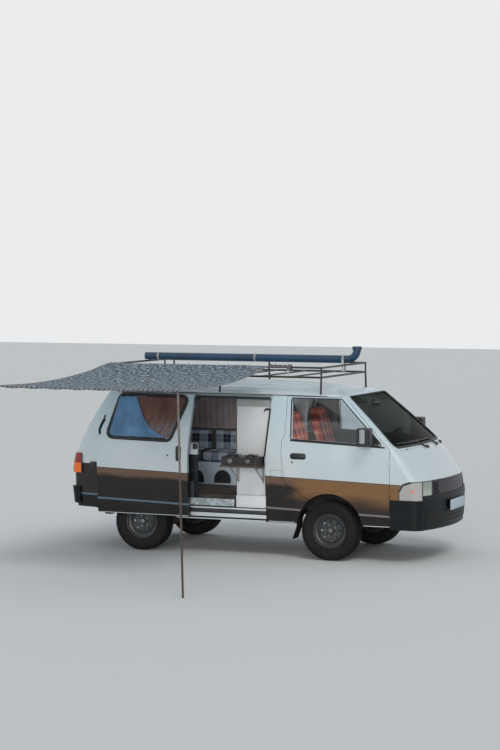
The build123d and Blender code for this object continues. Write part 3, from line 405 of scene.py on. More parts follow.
M = {
    "paint": body_paint("van_paint", 0.0),
    "paint_slid": body_paint("van_paint_sliding_door", 0.9),
    "pale": coated("pale_paint", (0.58, 0.64, 0.66), 0.32, 0.06, 0.1, Coat_Weight=0.3),
    "black": coated("black_moulding", (0.016, 0.018, 0.021), 0.45, 0.3, 0.35, 0.9),
    "bumper": coated("charcoal_bumper", (0.004, 0.006, 0.008), 0.46, 0.3, 0.012, 0.7, scuffs=0.5,
                     scuff_tone=(0.10, 0.11, 0.12), Specular_IOR_Level=0.25),
    "grille": coated("grille_moulding", (0.020, 0.017, 0.023), 0.42, 0.2, 0.06, 0.9),
    "rubber": coated("window_rubber", (0.012, 0.013, 0.014), 0.55, 0.2, 0.15, 1.8),
    "underseal": coated("underseal", (0.03, 0.028, 0.026), 0.85, 0.3, 0.8, 1.0, depth=0.002),
    "casting": coated("dusty_casting", (0.09, 0.075, 0.065), 0.75, 0.35, 0.7, 0.9, depth=0.0015, metal=0.3),
    "tyre": coated("tyre_rubber", (0.007, 0.0075, 0.008), 0.8, 0.25, 0.05, 0.75, depth=0.0008,
                   Specular_IOR_Level=0.25),
    "steel": coated("wheel_paint", (0.026, 0.031, 0.036), 0.42, 0.3, 0.18, 0.75, depth=0.0006),
    "nut": coated("wheel_nuts", (0.16, 0.17, 0.18), 0.4, 0.3, 0.4, 0.9, metal=0.7),
    "chrome": coated("bright_metal", (0.62, 0.63, 0.64), 0.22, 0.08, metal=1.0),
    "bench": coated("bench_panel", (0.56, 0.66, 0.74), 0.45, 0.08, 0.1, 2.0),
    "trim": coated("cab_trim", (0.026, 0.026, 0.028), 0.65, 0.15, 0.1, 2.0),
    "liner_dark": coated("wall_lining", (0.105, 0.095, 0.088), 0.85, 0.12, depth=0.001),
    "band": coated("grey_band", (0.36, 0.39, 0.38), 0.5, 0.12, grain=90.0),
    "liner": coated("head_lining", (0.42, 0.41, 0.38), 0.85, 0.08, depth=0.001),
    "enamel": coated("stove_enamel", (0.012, 0.012, 0.013), 0.3, 0.3, 0.15, 2.0),
    "rack": coated("rack_paint", (0.014, 0.015, 0.017), 0.42, 0.3, 0.1, 3.0, scuffs=0.5,
                   scuff_tone=(0.13, 0.09, 0.06)),
    "pipe": coated("pipe_paint", (0.002, 0.030, 0.075), 0.45, 0.3, 0.01, 3.0, Coat_Weight=0.3),
    "plate": coated("blank_plate", (0.45, 0.55, 0.61), 0.35, 0.05, 0.10, 0.9),
    "dark": coated("dark_recess", (0.008, 0.010, 0.012), 0.8, 0.3),
    "board": coated("white_board", (0.70, 0.71, 0.72), 0.42, 0.06, scuffs=0.25,
                    scuff_tone=(0.35, 0.33, 0.31), broad=2.0),
    "glass": glass("tinted_glass", (0.78, 0.84, 0.86)),
    # The body panes go nearly black ahead of the front axle: the windscreen's dark tint is painted shade of
    # the cab behind it.
    "screen": glass("body_panes", (0.42, 0.48, 0.50), 0.04, 1.04, (0.045, 0.060, 0.056)),
    # The sliding door pane's blue tint is a painted sky reflection.
    "slid_glass": glass("sliding_door_pane", (0.70, 0.82, 0.95)),
    "post": wood("brown_post", (0.20, 0.12, 0.06), (0.10, 0.055, 0.03), "Z"),
    "curtain": cloth("brown_curtain", (0.27, 0.225, 0.22)),
    # The sliding door's curtain as two cloths: blue-grey with a painted sky reflection where it is lit,
    # brown where it lies in painted shadow.
    "slid_curtain_painted_sky": cloth("curtain_with_painted_sky_reflection", (0.122, 0.245, 0.415)),
    "slid_curtain_painted_shadow": cloth("curtain_in_painted_shadow", (0.14, 0.070, 0.055)),
    "tread": coated("ribbed_tread", (0.42, 0.48, 0.50), 0.5, 0.35, 0.35, 1.2, broad=22.0, scuffs=0.9,
                    scuff_tone=(0.16, 0.17, 0.17)),
    # Dark trim for the upper track, also used for sheets of painted shade in the doorway and in the bench's
    # arches.
    "jamb": coated("dark_trim_and_painted_shade", (0.018, 0.024, 0.030), 0.6, 0.2, 0.15, 1.2),
    "card": coated("door_card", (0.060, 0.062, 0.066), 0.75, 0.15, 0.1, 2.0, grain=400.0),
    "cap": coated("rubber_knob", (0.014, 0.014, 0.015), 0.5, 0.2),
    "voile": cloth("grey_curtain", (0.50, 0.50, 0.52), axes=(1, 2)),
    "vinyl": coated("floor_vinyl", (0.095, 0.062, 0.048), 0.6, 0.25, 0.5, 1.0, broad=7.0),
    "mirror_face": coated("pale_mirror_patch", (0.33, 0.35, 0.37), 0.4, 0.2, 0.2, 2.0),
    "awning_end": cloth("awning_twist", (0.15, 0.14, 0.15)),
    "strap": cloth("webbing", (0.45, 0.44, 0.42), 900.0),
}


# Mesh helpers

def piece(bm, name, mat, body="body", replaces=(), smooth=35):
    """Makes a bmesh laid out in van metres into a finished piece that rides on a body."""
    bmesh.ops.remove_doubles(bm, verts=bm.verts, dist=1e-5)
    bmesh.ops.recalc_face_normals(bm, faces=bm.faces)
    bmesh.ops.translate(bm, verts=bm.verts, vec=AXLE)
    mesh = bpy.data.meshes.new(name)
    bm.to_mesh(mesh)
    bm.free()
    made = bpy.data.objects.new(name, mesh)
    bpy.context.collection.objects.link(made)
    for one in (mat if isinstance(mat, list) else [mat]):
        mesh.materials.append(one)
    mesh.shade_smooth()
    mesh.set_sharp_from_angle(angle=radians(smooth))
    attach(made, body)
    if replaces:
        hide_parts(*replaces)
    return made


def soften(bm, edges, offset, segments):
    bmesh.ops.bevel(bm, geom=edges, offset=offset, segments=segments, affect="EDGES", profile=0.5,
                    material=-1)


def box(bm, x, y, z, bevel=0.002, segments=2, turn=None):
    """A block between the pairs x, y and z, with softened edges. turn is a matrix about its middle."""
    middle = Vector((sum(x) / 2, sum(y) / 2, sum(z) / 2))
    size = Matrix.Diagonal((x[1] - x[0], y[1] - y[0], z[1] - z[0], 1))
    made = bmesh.ops.create_cube(bm, size=1, matrix=Matrix.Translation(middle) @ (turn or Matrix()) @ size)
    edges = list({e for v in made["verts"] for e in v.link_edges})
    if bevel:
        soften(bm, edges, bevel, segments)


def rod(bm, a, b, r, r_end=None, segments=16):
    a, b = Vector(a), Vector(b)
    turn = (b - a).to_track_quat("Z", "Y").to_matrix().to_4x4()
    bmesh.ops.create_cone(bm, cap_ends=True, segments=segments, radius1=r,
                          radius2=r if r_end is None else r_end, depth=(b - a).length,
                          matrix=Matrix.Translation((a + b) / 2) @ turn)


def lathe(bm, profile, centre, axis, steps=48):
    """Spins a profile of (distance along the axis, radius) right round."""
    centre, axis = Vector(centre), Vector(axis)
    place = Matrix.Translation(centre) @ axis.to_track_quat("Z", "X").to_matrix().to_4x4()
    verts = [bm.verts.new(place @ Vector((r, 0, a))) for a, r in profile]
    edges = [bm.edges.new(pair) for pair in zip(verts, verts[1:])]
    bmesh.ops.spin(bm, geom=verts + edges, cent=centre, axis=axis, dvec=(0, 0, 0), angle=2 * pi,
                   steps=steps, use_merge=True, use_duplicate=False)


def slab(bm, outline, thick, bevel=0.0):
    """Extrudes a flat outline of points by the vector thick."""
    face = bm.faces.new([bm.verts.new(p) for p in outline])
    grown = bmesh.ops.extrude_face_region(bm, geom=[face])
    verts = [v for v in grown["geom"] if isinstance(v, bmesh.types.BMVert)]
    bmesh.ops.translate(bm, verts=verts, vec=thick)
    if bevel:
        edges = list({e for f in [face] for e in f.edges} | {e for v in verts for e in v.link_edges})
        soften(bm, edges, bevel, 2)


def bead(bm, points, r, closed=False, smooth_line=False):
    """A tube along points, added to bm."""
    curve = bpy.data.curves.new("bead", "CURVE")
    curve.dimensions = "3D"
    curve.bevel_depth = r
    curve.bevel_resolution = 2
    curve.use_fill_caps = not closed
    line = curve.splines.new("NURBS" if smooth_line else "POLY")
    line.points.add(len(points) - 1)
    for at, p in zip(line.points, points):
        at.co = (p[0], p[1], p[2], 1)
    line.use_cyclic_u = closed
    if smooth_line:
        line.order_u = 4
        line.use_endpoint_u = True
        line.resolution_u = 6
    holder = bpy.data.objects.new("bead", curve)
    mesh = bpy.data.meshes.new_from_object(holder)
    bm.from_mesh(mesh)
    bpy.data.objects.remove(holder)
    bpy.data.curves.remove(curve)
    bpy.data.meshes.remove(mesh)


def rounded(corners, radius, steps=6):
    """The closed outline through 2-D corners, each rounded by an arc."""
    points = []
    count = len(corners)
    for i, corner in enumerate(corners):
        here = Vector(corner)
        to_last = (Vector(corners[i - 1]) - here)
        to_next = (Vector(corners[(i + 1) % count]) - here)
        half = to_last.angle(to_next) / 2
        reach = min(radius / max(0.2, sin(half) / cos(half)), to_last.length * 0.45, to_next.length * 0.45)
        a, b = here + to_last.normalized() * reach, here + to_next.normalized() * reach
        for k in range(steps + 1):
            t = k / steps
            points.append((a * (1 - t) + here * t) * (1 - t) + (here * (1 - t) + b * t) * t)
    return points


def grown(corners, by):
    """2-D corners moved outwards from their middle by about that much each way."""
    middle = sum((Vector(c) for c in corners), Vector((0, 0))) / len(corners)
    out = []
    for corner in corners:
        away = Vector(corner) - middle
        x_by, y_by = (by if a > 0 else -by for a in away)
        out.append(Vector((corner[0] + x_by, corner[1] + y_by)))
    return out


def dense(points, gap=0.05, closed=False):
    """More points on the straight runs, so that a bead can follow a curved skin."""
    out = []
    ends = points[1:] + ([points[0]] if closed else [])
    for a, b in zip(points, ends):
        a, b = Vector(a), Vector(b)
        count = max(1, ceil((b - a).length / gap))
        out += [a.lerp(b, k / count) for k in range(count)]
    return out if closed else out + [Vector(points[-1])]


CAST_BACK = 6                          # metres from which a ray is sent


def skin(*names):
    """The joined surface of CAD nodes, for rays to meet."""
    bm = bmesh.new()
    for name in names:
        bm.from_mesh(CAD[name].data)
    tree = BVHTree.FromBMesh(bm)
    bm.free()
    return tree


def onto(tree, point, direction, lift=0.0):
    """Where a ray through point meets the skin, moved back towards the eye by lift."""
    direction = Vector(direction).normalized()
    hit = tree.ray_cast(Vector(point) + AXLE - direction * CAST_BACK, direction)[0]
    return None if hit is None else hit - AXLE - direction * lift


def skin_line(tree, points, direction, lift):
    """Points laid on a skin; those that miss it are left out."""
    found = [onto(tree, p, direction, lift) for p in points]
    return [p for p in found if p is not None]


def dress(names, mat):
    for name in names:
        slots = CAD[name].data.materials
        slots.clear()
        slots.append(mat)


# CAD nodes that keep their shape

def lamp_material(name, low_tone, high_tone, part_z, ribs):
    made, net, shader = start_material(name, Coat_Weight=0.6, Coat_Roughness=0.05)
    y, z = net.split(net.place())[1:]
    tone = net.blend(net.calc("GREATER_THAN", z, part_z), low_tone, high_tone)
    ribbing = net.waves(y, ribs)
    deep = net.blend(net.calc("MULTIPLY", ribbing, 0.35), tone, (0.02, 0.01, 0.01))
    return finish_material(made, net, shader, deep, 0.2, ribbing, 0.001)


def headlamp_material():
    made, net, shader = start_material("clear_lamp", Coat_Weight=0.7, Coat_Roughness=0.04)
    x, y, z = net.split(net.place())
    across = net.calc("ABSOLUTE", net.calc("SUBTRACT", y, AXLE.y))
    along = net.calc("SUBTRACT", x, AXLE.x)
    ribbing = net.waves(along, 420)
    silver = net.blend(net.calc("MULTIPLY", ribbing, 0.3), (0.46, 0.44, 0.42), (0.22, 0.21, 0.21))
    glow = net.calc("SUBTRACT", 1.0, net.step(net.add("VectorMath", {
        0: net.join(along, across, z), 1: (0.935, 0.79, 0.785)}, 1, operation="DISTANCE"), 0.016, 0.044))
    silver = net.blend(glow, silver, (0.75, 0.17, 0.02))
    parting = net.calc("MULTIPLY_ADD", net.calc("SUBTRACT", z, 0.696), -0.23, 0.742)
    front = net.step(net.calc("SUBTRACT", across, parting), -0.004, 0.004, 1.0, 0.0)
    # The inner lamp's greenish tone, paler low down and darker higher up, is a painted reflection of the
    # surroundings in its lens.
    inner = net.blend(net.step(z, 0.72, 0.86), (0.42, 0.46, 0.38), (0.22, 0.27, 0.23))
    colour = net.blend(front, silver, inner)
    bar = net.near(across, parting, 0.009)
    rise = net.calc("SUBTRACT", z, net.calc("MULTIPLY_ADD", along, 1.674, -0.548))
    top = net.calc("SUBTRACT", z, net.calc("MULTIPLY_ADD", along, 0.343, 0.564))
    rim = net.calc("MAXIMUM", net.step(along, 0.797, 0.801, 1.0, 0.0), net.step(z, 0.877, 0.880))
    corner = net.calc("MAXIMUM", net.step(rise, -0.026, -0.018), net.step(top, -0.015, -0.009))
    rim = net.calc("MAXIMUM", rim, corner)
    colour = net.blend(net.calc("MAXIMUM", bar, rim), colour, (0.012, 0.013, 0.015))
    return finish_material(made, net, shader, colour, 0.18, ribbing, 0.0006)


def split_material(name, over, under, part_z, rough_over=0.6, rough_under=0.5, grain_axis=(1, 14, 14)):
    """One node whose upper stretch has another finish from its lower one."""
    made, net, shader = start_material(name)
    where = net.place()
    z = net.split(where)[2]
    grain = net.noise(net.stretch(where, grain_axis), 7.0, 6, 0.6)
    tones = [net.wander(grain, tuple(c * 0.6 for c in t), tuple(c * 1.25 for c in t)) for t in (under, over)]
    upper = net.step(z, part_z - 0.004, part_z + 0.004)
    rough = net.step(upper, 0, 1, rough_under, rough_over)
    return finish_material(made, net, shader, net.blend(upper, tones[0], tones[1]), rough, grain, 0.0005)


dress(["roof", "side_right", "side_left", "nose_panel", "tail_panel", "door_right", "door_left",
       "tailgate"], M["paint"])
dress(["sliding_door"], M["paint_slid"])
dress(["door_right_glass", "door_left_glass"], M["glass"])
dress(["body_glass", "tailgate_glass"], M["screen"])
dress(["sliding_door_glass"], M["slid_glass"])
dress(["floor_pan", "chassis_frame", "fuel_tank"], M["underseal"])
dress(["engine_block", "exhaust", "slide_arms", "knuckle_left", "knuckle_right", "rear_axle", "leaf_springs",
       "front_suspension"], M["casting"])
dress(["front_bumper", "rear_bumper"], M["bumper"])
dress(["grille"], M["grille"])
dress(["slide_rail", "mirror_right", "mirror_left", "steering_wheel"], M["black"])
dress(["dashboard"], M["trim"])
dress(["mud_flaps"], M["tyre"])
dress(["bench"], M["bench"])
dress(["cupboard"], M["board"])
dress(["roof_rack", "curtain_rod"], M["rack"])
dress(["roof_pipe"], M["pipe"])
dress(["stove"], M["enamel"])
dress(["wheel_" + key for key in WHEELS], M["steel"])
dress(["headlamps"], headlamp_material())
dress(["tail_lamps"], lamp_material("tail_lamp", (0.95, 0.15, 0.004), (0.30, 0.012, 0.006), 0.955, 260))
dress(["folding_shelf"], split_material("shelf_board", (0.085, 0.050, 0.032), (0.34, 0.35, 0.36), 0.984))
dress(["awning_poles"], split_material("pole_finish", (0.17, 0.135, 0.12), (0.060, 0.038, 0.026), 1.18,
                                       0.55, 0.55, (14, 14, 1)))


# Tyres and wheels

def tyre_piece(key, x, y):
    side = 1 if y > 0 else -1
    out = Vector((0, side, 0))
    centre = Vector((x, y, TYRE_R))
    bm = bmesh.new()
    wall = [(-0.071, 0.181), (-0.080, 0.186), (-0.084, 0.196), (-0.088, 0.214), (-0.0905, 0.232),
            (-0.0925, 0.246), (-0.0915, 0.262), (-0.0925, 0.265), (-0.0915, 0.268), (-0.089, 0.282),
            (-0.084, 0.298), (-0.076, 0.308)]
    tread = []
    for a in (-0.068, -0.040, -0.014):
        tread += [(a, 0.3125), (a + 0.0005, 0.306), (a + 0.0055, 0.306), (a + 0.006, 0.3125)]
    profile = wall + tread + [(-a, r) for a, r in reversed(wall + tread)]
    profile.append(profile[0])
    lathe(bm, profile, centre, out, 64)
    count = 56
    rows = [(-0.079, 0.022, 0.0), (-0.049, 0.020, 0.5), (-0.022, 0.014, 0.0), (0.0, 0.016, 0.5),
            (0.022, 0.014, 0.0), (0.049, 0.020, 0.5), (0.079, 0.022, 0.0)]
    pitch = 2 * pi / count
    for k in range(count):
        for at, wide, lag in rows:
            turn = Matrix.Rotation((k + lag) * pitch, 4, out)
            reach = 0.3145 if abs(at) < 0.06 else 0.3095
            lean = Matrix.Rotation(0.22 * (1 if at > 0 else -1), 4, (0, 0, 1))
            size = Matrix.Diagonal((pitch * TYRE_R * 0.78, wide, 0.011, 1))
            spot = Matrix.Translation(centre) @ turn @ Matrix.Translation((0, at * side, reach)) @ lean
            bmesh.ops.create_cube(bm, size=1, matrix=spot @ size)
    piece(bm, "tyre_tread_" + key, M["tyre"], "wheel_" + key, ["tyre_" + key], 30)


def wheel_trim(key, x, y):
    """Nuts and the centre cap, and the edges of the rim."""
    side = 1 if y > 0 else -1
    out = Vector((0, side, 0))
    centre = Vector((x, y, TYRE_R))
    bm = bmesh.new()
    tree = skin("wheel_" + key)
    for k in range(5):
        around = Matrix.Rotation(2 * pi * k / 5 + 0.3, 4, out) @ Vector((0, 0, 0.057))
        spot = onto(tree, centre + around, -out, 0)
        if spot is not None:
            rod(bm, spot - out * 0.004, spot + out * 0.016, 0.0105, 0.009, 6)
            rod(bm, spot - out * 0.004, spot + out * 0.004, 0.016, None, 16)
    hub = onto(tree, centre, -out, 0)
    if hub is not None:
        cap = [(-0.002, 0.034), (0.014, 0.033), (0.024, 0.026), (0.028, 0.010), (0.028, TIP)]
        lathe(bm, cap, hub, out, 24)
    piece(bm, "wheel_nuts_" + key, M["nut"], "wheel_" + key)
    bm = bmesh.new()
    for r, thick in ((0.186, 0.0035), (0.126, 0.003)):
        ring = []
        for k in range(48):
            spot = centre + Matrix.Rotation(2 * pi * k / 48, 4, out) @ Vector((0, 0, r))
            hit = onto(tree, spot, -out, 0.0)
            if hit is not None:
                ring.append(hit)
        if len(ring) == 48:
            bead(bm, ring, thick, True)
    piece(bm, "rim_edges_" + key, M["steel"], "wheel_" + key)


for wheel_key, (wheel_x, wheel_y) in WHEELS.items():
    tyre_piece(wheel_key, wheel_x, wheel_y)
    wheel_trim(wheel_key, wheel_x, wheel_y)


# Body trim

SIDE = {side: skin("side_" + name, "door_" + name, "nose_panel", "roof") for side, name in SIDES}
DOOR = {side: skin("door_" + name) for side, name in SIDES}
SLIDER = skin("sliding_door")
FRONT = skin("nose_panel", "roof", "side_right", "side_left", "door_right", "door_left")
GATE = skin("tailgate", "tail_panel", "roof")
ROOF = skin("roof", "side_right", "side_left")
SCREEN = skin("body_glass")


def side_loop(tree, corners, radius, side, lift, shift=Vector((0, 0, 0))):
    """A closed line with rounded corners, laid on a skin of the van's side."""
    flat = rounded(corners, radius)
    line = dense([(p[0] + shift.x, 0, p[1]) for p in flat], 0.05, True)
    return skin_line(tree, line, (0, -side, 0), lift)


gasket = bmesh.new()
for side in (-1, 1):
    bead(gasket, side_loop(SIDE[side], grown(QUARTER_WINDOW, 0.007), 0.06, side, 0.001), 0.012, True)
bead(gasket, side_loop(SIDE[1], grown(LEFT_WINDOW, 0.007), 0.06, 1, 0.001), 0.012, True)
screen_line = dense([(0, p[0], p[1]) for p in rounded(grown(WINDSCREEN, 0.006), 0.05)], 0.05, True)
bead(gasket, skin_line(FRONT, screen_line, (-1, 0, 0), 0.0), 0.010, True)
piece(gasket, "window_gaskets", M["rubber"])

gasket = bmesh.new()
bead(gasket, side_loop(SLIDER, grown(SLIDING_WINDOW, 0.012), 0.075, -1, 0.000, SLID), 0.020, True)
piece(gasket, "sliding_door_gasket", M["rubber"])

gasket = bmesh.new()
gate_line = dense([(0, p[0], p[1]) for p in rounded(grown(TAIL_WINDOW, 0.007), 0.05)], 0.05, True)
bead(gasket, skin_line(GATE, gate_line, (1, 0, 0), 0.001), 0.012, True)
piece(gasket, "tailgate_gasket", M["rubber"], "tailgate")

for side, name in SIDES:
    gasket = bmesh.new()
    bead(gasket, side_loop(DOOR[side], grown(FRONT_WINDOW, 0.004), 0.025, side, -0.001), 0.0065, True)
    piece(gasket, "door_seal_" + name, M["rubber"], "door_" + name)


def door_handle(name, tree, body, side, x0, x1, z0, z1, key):
    """A black recessed pull with its flap, and the key hole beside it."""
    bm = bmesh.new()
    middle = onto(tree, ((x0 + x1) / 2, 0, (z0 + z1) / 2), (0, -side, 0))
    wide, tall = x1 - x0, z1 - z0
    radius = min(wide, tall) * 0.45
    frame_line = rounded([(x0, z0), (x1, z0), (x1, z1), (x0, z1)], radius)
    slab(bm, [(p.x, middle.y - side * 0.012, p.y) for p in frame_line], (0, side * 0.016, 0), 0.002)
    inset = 0.16 * min(wide, tall)
    lip = rounded([(x0 + inset, z0 + inset), (x1 - inset, z0 + inset), (x1 - inset, z1 - inset * 2),
                   (x0 + inset, z1 - inset * 2)], radius * 0.7)
    slab(bm, [(p.x, middle.y, p.y) for p in lip], (0, side * 0.010, 0), 0.003)
    hole = onto(tree, (key[0], 0, key[1]), (0, -side, 0))
    rings = [(-0.004, 0.011), (0.003, 0.010), (0.004, 0.006), (0.002, 0.004), (0.002, TIP)]
    lathe(bm, rings, hole, (0, side, 0), 20)
    piece(bm, name, M["black"], body)


door_handle("door_handle_right", DOOR[-1], "door_right", -1, -0.444, -0.262, 1.082, 1.148, (-0.420, 1.048))
door_handle("door_handle_left", DOOR[1], "door_left", 1, -0.444, -0.262, 1.082, 1.148, (-0.420, 1.048))
door_handle("sliding_door_handle", SLIDER, "body", -1, -1.772, -1.706, 1.018, 1.189, (-1.87, 1.08))

# Gutters along the roof, with the dark joint under them, and lengthwise ribs on the roof
gutter, joint = bmesh.new(), bmesh.new()
for side in (-1, 1):
    path = [(0.10, 0, 1.771), (-0.4, 0, 1.776), (-1.2, 0, 1.778), (-2.0, 0, 1.778), (-2.50, 0, 1.770)]
    along = skin_line(SIDE[side], dense(path, 0.1), (0, -side, 0), 0.003)
    bead(gutter, along, 0.0075)
    bead(joint, [p - Vector((0, -side * 0.001, 0.0105)) for p in along], 0.004)
piece(gutter, "roof_gutters", M["pale"])
piece(joint, "gutter_joints", M["rubber"])
ribs = bmesh.new()
for row in (0.08, 0.20, 0.32, 0.44, 0.56, 0.66):
    for side in (-1, 1):
        line = dense([(-0.30, side * row, 1.9), (-2.42, side * row, 1.9)], 0.15)
        bead(ribs, skin_line(ROOF, line, (0, 0, -1), -0.004), 0.0095)
piece(ribs, "roof_ribs", M["pale"])

# Number plates, blank, on their holders
plates, holders = bmesh.new(), bmesh.new()
for x, z, sign in ((1.186, 0.598, 1), (-3.1235, 0.598, -1)):
    box(holders, sorted((x, x + sign * 0.005)), (-0.267, 0.267), (z - 0.062, z + 0.062), 0.003)
    box(plates, sorted((x + sign * 0.004, x + sign * 0.0075)), (-0.26, 0.26), (z - 0.055, z + 0.055), 0.0015)
piece(holders, "plate_holders", M["black"])
piece(plates, "blank_plates", M["plate"])

# Bumper ribs, and the dark grooves between them
BUMPER = skin("front_bumper")


def bumper_rows(bm, heights, parted_from, gap, reach, lift, r):
    """Beads across the bumper. Above parted_from they stop at the plate."""
    for z in heights:
        runs = [(-reach, -gap), (gap, reach)] if z > parted_from else [(-reach, reach)]
        for y0, y1 in runs:
            line = dense([(0, y0, z), (0, y1, z)], 0.04)
            bead(bm, skin_line(BUMPER, line, (-1, 0, 0), lift), r)


bars, grooves = bmesh.new(), bmesh.new()
bumper_rows(bars, (0.420, 0.462, 0.504, 0.546, 0.588), 0.53, 0.272, 0.70, -0.002, 0.0095)
piece(bars, "bumper_ribs", M["bumper"])
bumper_rows(grooves, (0.441, 0.483, 0.525, 0.567), 0.5, 0.285, 0.66, -0.001, 0.0075)
piece(grooves, "bumper_grooves", M["dark"])

# Wipers, the small nozzles beside them and the line of the cowl
wipers = bmesh.new()
for y_foot, y_tip in ((-0.060, -0.640), (0.378, -0.150)):
    foot = onto(FRONT, (0, y_foot, 1.205), (-1, 0, 0), 0.010)
    lathe(wipers, [(-0.015, 0.017), (0.008, 0.017), (0.016, 0.011), (0.016, TIP)], foot, (0.5, 0, 0.86), 16)
    elbow = onto(SCREEN, (0, y_foot - 0.10, 1.268), (-1, 0, 0), 0.020)
    grip = onto(SCREEN, (0, (y_foot + y_tip) / 2, 1.274), (-1, 0, 0), 0.020)
    rod(wipers, foot, elbow, 0.0085, 0.007, 10)
    rod(wipers, elbow, grip, 0.007, 0.005, 10)
    blade = dense([(0, y_foot - 0.01, 1.262), (0, y_tip, 1.270)], 0.05)
    bead(wipers, skin_line(SCREEN, blade, (-1, 0, 0), 0.007), 0.0065)
    bead(wipers, skin_line(SCREEN, blade[2:-2], (-1, 0, 0), 0.016), 0.0045)
for y, z, r in ((-0.007, 1.193, 0.010), (0.671, 1.193, 0.010), (-0.55, 1.205, 0.008)):
    spot = onto(FRONT, (0, y, z), (-1, 0, 0), 0.0)
    lathe(wipers, [(-0.004, r), (0.004, r), (0.011, r * 0.6), (0.012, TIP)], spot, (0.5, 0, 0.86), 16)
cowl = dense([(0, -0.70, 1.228), (0, 0.70, 1.228)], 0.05)
bead(wipers, skin_line(FRONT, cowl, (-1, 0, 0), -0.002), 0.008)
piece(wipers, "wipers", M["black"])

# Seams of the nose, and the small flap behind the right front door
seams = bmesh.new()
for z, lift, r in ((1.212, -0.0012, 0.0016), (0.886, -0.0005, 0.0035)):
    arc = [(0, y, z - 0.012 * (y / 0.7) ** 2) for y in [k * 0.05 - 0.70 for k in range(29)]]
    bead(seams, skin_line(FRONT, arc, (-1, 0, 0), lift), r)
FLAP = [(-0.669, 0.772), (-0.546, 0.772), (-0.546, 0.957), (-0.669, 0.957)]
bead(seams, side_loop(SIDE[-1], FLAP, 0.018, -1, -0.0012), 0.0020, True)
piece(seams, "panel_seams", M["dark"])

# Tailgate: its handle bar and wiper
gate = bmesh.new()
spot = onto(GATE, (0, 0, 0.905), (1, 0, 0), 0.0)
box(gate, (spot.x - 0.018, spot.x + 0.004), (-0.30, 0.30), (0.872, 0.925), 0.006, 3)
line = dense([(0, -0.05, 1.33), (0, 0.36, 1.36)], 0.06)
bead(gate, skin_line(skin("tailgate_glass"), line, (1, 0, 0), 0.008), 0.005)
foot = onto(GATE, (0, 0.0, 1.255), (1, 0, 0), 0.004)
tip = onto(skin("tailgate_glass"), (0, 0.16, 1.345), (1, 0, 0), 0.014)
rod(gate, foot, tip, 0.006, 0.004, 10)
lathe(gate, [(-0.012, 0.02), (0.010, 0.018), (0.014, TIP)], foot, (-1, 0, 0), 18)
piece(gate, "tailgate_fittings", M["black"], "tailgate")


# Doorway, cabin and small fittings

INSIDE_GAP = 0.0015


def lining(name, nodes, keep, body, mat):
    """A thin trim skin over the inner faces of CAD nodes that keep() picks by their middle and normal."""
    bm = bmesh.new()
    for node in nodes:
        bm.from_mesh(CAD[node].data)
    bmesh.ops.remove_doubles(bm, verts=bm.verts, dist=1e-5)
    bmesh.ops.translate(bm, verts=bm.verts, vec=-AXLE)
    spare = [f for f in bm.faces if not keep(f.calc_center_median(), f.normal)]
    bmesh.ops.delete(bm, geom=spare, context="FACES")
    bm.normal_update()
    for v in bm.verts:
        v.co += v.normal * INSIDE_GAP
    bmesh.ops.solidify(bm, geom=bm.faces[:], thickness=-0.001)
    piece(bm, name, mat, body)


def side_at(z):
    """Half width of the body's skin at a height."""
    return 0.822 - max(0.0, z - 1.0) * 0.108


for side, name in SIDES:
    def in_door(p, n, side=side):
        return n.y * side < -0.35 and abs(p.y) < side_at(p.z) - 0.03

    def in_wall(p, n, side=side):
        return n.y * side < -0.35 and abs(p.y) < side_at(p.z) - 0.055 and p.z > 0.60

    lining("door_card_" + name, ["door_" + name], in_door, "door_" + name, M["card"])
    lining("wall_lining_" + name, ["side_" + name], in_wall, "body", M["liner_dark"])
lining("head_lining", ["roof"], lambda p, n: n.z < -0.4, "body", M["liner"])
lining("dash_front_lining", ["nose_panel"], lambda p, n: n.x < -0.2 and abs(p.y) < 0.74, "body", M["card"])

# Round the side doorway: rubber, upper track, latch, tread and runners, with dark sheets as painted shade
# between the runners, under the tread and in the rear corner
DOORWAY = [(-0.704, 1.727), (-1.580, 1.727), (-1.786, 1.236), (-1.812, 1.098), (-1.812, 0.545),
           (-0.750, 0.545), (-0.760, 1.098)]
RECESS = skin("side_right")
flange = dense([(p.x, 0, p.y) for p in rounded(DOORWAY, 0.07)], 0.04, True)
seal = bmesh.new()
around = [onto(RECESS, p, (0, 1, 0), 0.004) for p in flange]
around = [p for p in around if p is not None and -0.79 < p.y < -0.66]
runs, run = [], []
for p in around:
    if run and (p - run[-1]).length > 0.10:
        runs.append(run)
        run = []
    run.append(p)
runs.append(run)
for run in runs:
    if len(run) > 3:
        bead(seal, run, 0.010)
piece(seal, "doorway_rubber", M["rubber"])

track, latch, tread, rails, doorway_shade_sheets = bmesh.new(), bmesh.new(), bmesh.new(), bmesh.new(), bmesh.new()
box(track, (-1.575, -0.715), (-0.757, -0.722), (1.7285, 1.7420), 0.003)
box(track, (-1.575, -0.715), (-0.7665, -0.757), (1.7150, 1.7420), 0.002)
box(latch, (-1.612, -1.560), (-0.786, -0.766), (1.150, 1.210), 0.005, 3)
box(latch, (-1.600, -1.574), (-0.792, -0.784), (1.163, 1.197), 0.003, 2)
box(latch, (-0.775, -0.715), (-0.722, -0.700), (1.596, 1.618), 0.004, 2)
rod(latch, (-0.772, -0.712, 1.607), (-0.772, -0.748, 1.590), 0.007, 0.007, 12)
box(tread, (-1.790, -1.120), (-0.7745, -0.7445), (0.533, 0.612), 0.004, 2)
for k in range(7):
    z = 0.541 + 0.0105 * k
    rod(tread, (-1.785, -0.7750, z), (-1.125, -0.7750, z), 0.0030, None, 8)
RUNNERS = ((-0.789, -0.764, 0.503, 0.520), (-0.786, -0.764, 0.414, 0.456), (-0.800, -0.764, 0.3865, 0.398))
for y0, y1, z0, z1 in RUNNERS:
    box(rails, (-1.800, -0.735), (y0, y1), (z0, z1), 0.004, 3)
